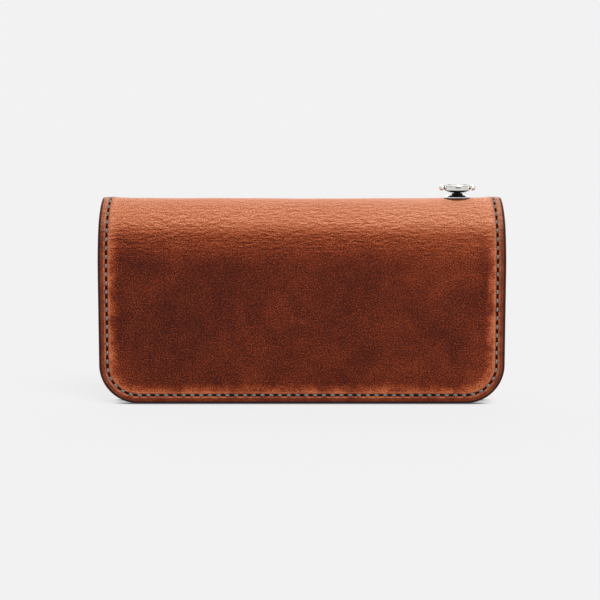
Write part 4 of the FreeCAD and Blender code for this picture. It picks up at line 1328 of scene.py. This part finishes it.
def tumbled_brass():
    """Cast and tumbled brass: warm, half shiny, browned in low places 1.5 mm across."""
    material, tree = new_material("tumbled_brass")
    spot = add_node(tree, "TexCoord").outputs["Object"]
    patina = add_node(tree, "TexNoise", {"Vector": spot, "Scale": 0.7 / MM, "Detail": 4,
                                         "Roughness": 0.6})
    tone = add_node(tree, "ValToRGB", {"Fac": patina}, stops=[(0.32, "#6f4f22"), (0.5, "#b98f4a"),
                                                              (0.75, "#d8b674")])
    rough = add_node(tree, "MapRange", {0: patina, 1: 0.3, 2: 0.7, 3: 0.38, 4: 0.22})
    bump = add_node(tree, "Bump", {"Strength": 0.35, "Distance": 0.05 * MM, "Height": patina})
    surface = add_node(tree, "BsdfPrincipled", {"Base Color": tone, "Metallic": 1,
                                                "Roughness": rough, "Normal": bump})
    add_node(tree, "OutputMaterial", {"Surface": surface})
    return material


def woven_tape():
    """Herringbone polyester tape, dyed dark brown: matt, with ribs 0.55 mm apart that change
    their slant every 0.9 mm."""
    material, tree = new_material("woven_tape")
    spot = add_node(tree, "TexCoord").outputs["Object"]
    in_mm = add_node(tree, "VectorMath", {0: spot, 1: (1000, 1000, 1000)}, operation="MULTIPLY")
    place = add_node(tree, "SeparateXYZ", {0: in_mm}).outputs
    folded = add_node(tree, "Math", {0: place[2], 1: 0.9}, operation="PINGPONG")
    slanted = add_node(tree, "Math", {0: place[0], 1: folded}, operation="ADD")
    ribs = add_node(tree, "Math", {0: slanted, 1: 2 * math.pi / 0.55}, operation="MULTIPLY")
    ribs = add_node(tree, "Math", {0: ribs}, operation="SINE")
    ribs = add_node(tree, "Math", {0: ribs, 1: 0.5, 2: 0.5}, operation="MULTIPLY_ADD")
    fuzz = add_node(tree, "TexNoise", {"Vector": in_mm, "Scale": 1 / 0.25, "Detail": 3,
                                       "Roughness": 0.6})
    tone = add_node(tree, "Math", {0: ribs, 1: 0.5}, operation="MULTIPLY")
    tone = add_node(tree, "Math", {0: fuzz, 1: 0.5, 2: tone}, operation="MULTIPLY_ADD")
    colour = add_node(tree, "ValToRGB", {"Fac": tone}, stops=[(0.2, "#150d09"), (0.8, "#3d2a20")])
    bump = add_node(tree, "Bump", {"Strength": 0.8, "Distance": 0.12 * MM, "Height": tone})
    surface = add_node(tree, "BsdfPrincipled", {"Base Color": colour, "Roughness": 0.85,
                                                "Normal": bump})
    add_node(tree, "OutputMaterial", {"Surface": surface})
    return material


brass, tape_weave = tumbled_brass(), woven_tape()


def soft_box(name, middle, size, edge, segments=3):
    """A cube sized, rounded and placed in edit mode, along a half's axes."""
    bpy.ops.mesh.primitive_cube_add(size=1)
    piece = bpy.context.object
    piece.name = name
    bpy.ops.object.mode_set(mode="EDIT")
    bpy.ops.transform.resize(value=size)
    bpy.ops.mesh.bevel(offset=edge, segments=segments, affect="EDGES")
    bpy.ops.transform.translate(value=middle)
    bpy.ops.mesh.normals_make_consistent(inside=False)
    bpy.ops.object.mode_set(mode="OBJECT")
    bpy.ops.object.shade_smooth_by_angle(angle=math.radians(40))
    piece.select_set(False)
    return piece


def copy_mesh(piece, matrix):
    """A copy with its own mesh, moved by a matrix."""
    twin = piece.copy()
    twin.data = piece.data.copy()
    twin.data.transform(matrix)
    bpy.context.scene.collection.objects.link(twin)
    return twin


def facing_inward(along, depth, up):
    """Puts a piece turned round Z at a place in a half, its axis pointing into the wallet."""
    return Matrix.Translation((along, depth, up)) @ Matrix.Rotation(-math.pi / 2, 4, "X")


ZIP_DEPTH, ZIP_UP = 8.85 * MM, -ZIP_DROP
TOOTH_PITCH = 2.6 * MM
teeth_run = WINDOW_HALF - 1.8 * MM
for place_of, way in (("upper", 1), ("lower", -1)):
    tape = soft_box("zip_tape_woven_" + place_of, (0, ZIP_DEPTH, ZIP_UP + way * 4.65 * MM),
                    (2 * WINDOW_HALF + 6 * MM, 0.6 * MM, 4.4 * MM), 0.18 * MM, 2)
    cord = soft_box("cord", (0, ZIP_DEPTH, ZIP_UP + way * 2.475 * MM),
                    (2 * teeth_run, 1.24 * MM, 1.15 * MM), 0.45 * MM)
    merge([tape, cord])
    finish(tape, 1, "back_half", [tape_weave], "zip_tape", "zip_tape_" + place_of)

    # a tooth is a leg clamped on the cord and a nose past the middle, between two of the others
    tooth = merge([
        soft_box("zip_teeth_cast_" + place_of, (0, 0, way * 2.05 * MM),
                 (1.24 * MM, 1.76 * MM, 1.5 * MM), 0.22 * MM, 2),
        soft_box("nose", (0, 0, way * 0.575 * MM), (1.0 * MM, 1.1 * MM, 1.85 * MM), 0.2 * MM, 2)])
    shift = 0 if way > 0 else TOOTH_PITCH / 2
    number = int((2 * teeth_run - 2 * MM - shift) // TOOTH_PITCH)
    first = Matrix.Translation((-teeth_run + 1 * MM + shift, ZIP_DEPTH, ZIP_UP))
    teeth = [copy_mesh(tooth, first @ Matrix.Translation((k * TOOTH_PITCH, 0, 0)))
             for k in range(1, number + 1)]
    tooth.data.transform(first)
    merge([tooth] + teeth)
    finish(tooth, 1, "back_half", [brass], "zip_metal", "zip_teeth_" + place_of)
for place_of, way in (("left", -1), ("right", 1)):
    stop = soft_box("zip_stop_crimped_" + place_of,
                    (way * (WINDOW_HALF - 0.8 * MM), ZIP_DEPTH, ZIP_UP),
                    (1.6 * MM, 1.8 * MM, 5.5 * MM), 0.35 * MM)
    finish(stop, 1, "back_half", [brass], "zip_metal", "zip_stop_" + place_of)

SLIDER_X = joints["zip_slide"]["pos_m"][0]
SLIDER_HALF, SLIDER_WIDE = 6 * MM, 3.95 * MM
PLATE_NEAR, PLATE_FAR = 1.2 * MM, 2.4 * MM


def racetrack(x, low, high, half, samples=16):
    """A slot-shaped outline standing upright, half its width each side of x."""
    points = []
    for centre, start in ((high - half, 0), (low + half, math.pi)):
        for turn in np.linspace(start, start + math.pi, samples):
            points.append((x + half * math.cos(turn), centre + half * math.sin(turn)))
    return points


def circle(x, up, radius, samples=32):
    return [(x + radius * math.cos(turn), up + radius * math.sin(turn))
            for turn in np.linspace(0, 2 * math.pi, samples, endpoint=False)]


def shield(half_wide, nose):
    """The slider's plate from in front: blunt where the rows meet, flared where they part."""
    points = []
    for along, wide in ((-1, 0.62), (-0.9, 0.82), (-0.55, 0.97), (0, 1), (0.5, 0.95), (0.85, 0.72),
                        (1, 0.42)):
        points.append((SLIDER_X + along * nose, wide * half_wide))
    return ([(x, ZIP_UP + wide) for x, wide in points]
            + [(x, ZIP_UP - wide) for x, wide in points[::-1]])


plate_shape = shield(SLIDER_WIDE, SLIDER_HALF)
slider_parts = [
    plate("zip_slider_cast", [plate_shape], ZIP_DEPTH + PLATE_NEAR, ZIP_DEPTH + PLATE_FAR,
          0.35 * MM, 3),
    plate("slider_under", [plate_shape], ZIP_DEPTH - PLATE_FAR, ZIP_DEPTH - PLATE_NEAR,
          0.35 * MM, 3),
    soft_box("slider_saddle", (SLIDER_X, 11.15 * MM, ZIP_UP), (6.4 * MM, 0.7 * MM, 3.8 * MM),
             0.3 * MM),
    soft_box("slider_wedge", (SLIDER_X, ZIP_DEPTH, ZIP_UP), (5.6 * MM, 2.9 * MM, 0.7 * MM),
             0.15 * MM, 2)]
for way in (-1, 1):
    slider_parts.append(soft_box(
        "slider_lip", (SLIDER_X - 0.1 * MM, 10.025 * MM, ZIP_UP + way * 3.5 * MM),
        (8.2 * MM, 1.15 * MM, 0.8 * MM), 0.25 * MM, 2))
slider = merge(slider_parts)
finish(slider, 1, "zip_slider", [brass], "zip_metal", "slider_body")

post = spin_piece("slider_post_turned", round_over([
    (0.0, -0.3), (1.7, -0.3), (1.7, 0.3), (1.2, 0.45), (1.2, 2.2), (2.3, 2.2), (2.25, 2.55),
    (1.5, 2.78), (0.0, 2.8)], 0.12, 2), [brass], steps=40,
    place=facing_inward(SLIDER_X, ZIP_DEPTH + PLATE_FAR, ZIP_UP))
finish(post, 1, "zip_slider", [brass], "zip_metal", "slider_post")

# ---------------------------------------------------------------------------------------------
# Pull
# A stamped brass link on the slider's post, and a tab of the cover's own leather hung from it by
# a domed rivet. The link and tab swing about the post.

LINK = (12.25 * MM, 13.15 * MM)
TAB = (10.95 * MM, 12.25 * MM)
LINK_HALF = 2.5 * MM
TAB_HALF, TAB_LENGTH = 4.5 * MM, 25 * MM
TAB_ROW_HALF, TAB_ROW_SIDE, TAB_STITCHES = 2.85 * MM, 13 * MM, 15
rivet_up = ZIP_UP - 11.5 * MM
tab_top = ZIP_UP - 8.2 * MM
link = plate("pull_link_stamped", [
    racetrack(SLIDER_X, rivet_up - LINK_HALF, ZIP_UP + LINK_HALF, LINK_HALF),
    circle(SLIDER_X, ZIP_UP, 1.5 * MM),
    racetrack(SLIDER_X, tab_top, ZIP_UP - 3.6 * MM, 1.1 * MM, 10)],
    *LINK, 0.22 * MM, 3)
finish(link, 1, "zip_pull", [brass], "zip_metal", "pull_link")


def pull_up_hide_tab():
    """The cover's oiled hide in a small piece: the same grain, without the fold's ripples."""
    material, tree = new_material("pull_up_hide_tab")
    spot = add_node(tree, "TexCoord").outputs["Object"]
    in_mm = add_node(tree, "VectorMath", {0: spot, 1: (1000, 1000, 1000)}, operation="MULTIPLY")
    grain = add_node(tree, "TexNoise", {"Vector": in_mm, "Scale": 1 / 0.8, "Detail": 4,
                                        "Roughness": 0.68})
    clouds = add_node(tree, "TexNoise", {"Vector": in_mm, "Scale": 1 / 5, "Detail": 3,
                                         "Roughness": 0.6})
    tone = add_node(tree, "Math", {0: clouds, 1: 0.4}, operation="MULTIPLY")
    tone = add_node(tree, "Math", {0: grain, 1: 0.6, 2: tone}, operation="MULTIPLY_ADD")
    colour = add_node(tree, "ValToRGB", {"Fac": tone}, stops=[(0.3, "#5c2412"), (0.5, "#8a4224"),
                                                              (0.72, "#b9683f")])
    bump = add_node(tree, "Bump", {"Strength": 0.7, "Distance": 0.18 * MM, "Height": grain})
    surface = add_node(tree, "BsdfPrincipled", {"Base Color": colour, "Roughness": 0.5,
                                                "Specular IOR Level": 0.25, "Normal": bump})
    add_node(tree, "OutputMaterial", {"Surface": surface})
    return material


tab_outline = []
for x, up in racetrack(SLIDER_X, tab_top - TAB_LENGTH, tab_top, TAB_HALF, 20):
    shoulder = min(max((up - tab_top) / (8 * MM) + 1, 0), 1)
    tab_outline.append((SLIDER_X + (x - SLIDER_X) * (0.92 + 0.08 * shoulder), up))
tab = plate("pull_tab_hide", [tab_outline, circle(SLIDER_X, rivet_up, 1.0 * MM, 20)],
            *TAB, 0.3 * MM, 3)
finish(tab, 1, "zip_pull", [pull_up_hide_tab()], "cover_leather", "pull_tab")


def tab_row(run):
    """(x, drop) in a long U inside the tab's edge, from its left shoulder."""
    top, arc = 6.2 * MM - tab_top, math.pi * TAB_ROW_HALF
    if run < TAB_ROW_SIDE:
        return SLIDER_X - TAB_ROW_HALF, top + run
    if run < TAB_ROW_SIDE + arc:
        turn = (run - TAB_ROW_SIDE) / TAB_ROW_HALF
        return (SLIDER_X - TAB_ROW_HALF * math.cos(turn),
                top + TAB_ROW_SIDE + TAB_ROW_HALF * math.sin(turn))
    return SLIDER_X + TAB_ROW_HALF, top + 2 * TAB_ROW_SIDE + arc - run


tab_run = 2 * TAB_ROW_SIDE + math.pi * TAB_ROW_HALF
tab_stitches = sew("stitches_tab", [(k + 0.5) * tab_run / TAB_STITCHES for k in range(TAB_STITCHES)],
                   tab_row, lay_in_half(1, lambda drop: TAB[1]), depth=0.08 * MM, scale=0.62)
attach(tab_stitches, "zip_pull")

rivet = spin_piece("pull_rivet_domed", round_over([
    (0, 0.0), (1.0, 0.0), (1.0, 2.2), (1.9, 2.2), (1.8, 2.42), (1.1, 2.66), (0, 2.7)], 0.12, 2),
    [brass], steps=36, place=facing_inward(SLIDER_X, TAB[0], rivet_up))
finish(rivet, 1, "zip_pull", [brass], "zip_metal", "pull_rivet")

# ---------------------------------------------------------------------------------------------
# Press fastener
# Nickel-plated brass: a domed cap outside the far cover, its socket inside the card panels, and
# a stud riveted through the pocket's rim that snaps into it.


def satin_nickel():
    """Nickel plate over turned brass: grey-white and satin, a little clouded."""
    material, tree = new_material("satin_nickel")
    spot = add_node(tree, "TexCoord").outputs["Object"]
    clouding = add_node(tree, "TexNoise", {"Vector": spot, "Scale": 1.2 / MM, "Detail": 3})
    tone = add_node(tree, "ValToRGB", {"Fac": clouding}, stops=[(0.3, "#8f8e8a"),
                                                                (0.7, "#c6c4bf")])
    rough = add_node(tree, "MapRange", {0: clouding, 1: 0.3, 2: 0.7, 3: 0.22, 4: 0.36})
    surface = add_node(tree, "BsdfPrincipled", {"Base Color": tone, "Metallic": 1,
                                                "Roughness": rough})
    add_node(tree, "OutputMaterial", {"Surface": surface})
    return material


nickel = satin_nickel()
SOCKET_DEPTH = 7.3 * MM
half_room = -BACK_HINGE.y - SNAP_DROP * math.sin(LEAN)
SNAP_ROOM = 2 * half_room / math.cos(LEAN)
BULB_START = (SNAP_ROOM - SOCKET_DEPTH) / MM - 3.4
BULB_END = (SNAP_ROOM - SOCKET_DEPTH) / MM - 1.05
cap_profile = [(0, -2.0), (1.5, -1.97), (2.8, -1.86), (3.9, -1.66), (4.4, -1.62), (4.6, -1.72),
               (4.9, -1.62), (5.5, -1.25), (6.0, -0.85), (6.2, -0.5), (6.15, -0.1), (5.9, 0.0),
               (1.6, 0.0), (1.6, 7.3), (0, 7.3)]
cap = spin_piece("snap_cap_domed", cap_profile, [nickel], steps=64,
                 place=facing_inward(0, 0, -SNAP_DROP))
finish(cap, -1, "front_half", [nickel], "snap_metal", "snap_cap")
socket_profile = round_over([
    (0, 0.0), (5.6, 0.0), (5.6, 1.7), (5.0, 2.6), (5.0, 3.4), (3.3, 3.4), (2.7, 3.1), (2.7, 0.6),
    (0, 0.6)], 0.25, 3)
socket = spin_piece("snap_socket_turned", socket_profile, [nickel], steps=64,
                    place=facing_inward(0, SOCKET_DEPTH, -SNAP_DROP))
finish(socket, -1, "front_half", [nickel], "snap_metal", "snap_socket")
stud_profile = round_over([
    (0, 3.3), (1.6, 3.3), (1.6, 5.4), (4.9, 5.4), (5.0, 5.8), (4.7, 6.2), (2.6, 6.25),
    (1.5, 6.6), (1.5, BULB_START), (2.0, BULB_START + 0.6), (2.0, BULB_END - 0.6),
    (1.5, BULB_END), (0, BULB_END + 0.02)], 0.2, 3)
snap_stud = spin_piece("snap_stud_turned", stud_profile, [nickel], steps=64,
                       place=facing_inward(0, 0, -SNAP_DROP))
finish(snap_stud, 1, "back_half", [nickel], "snap_metal", "snap_stud")
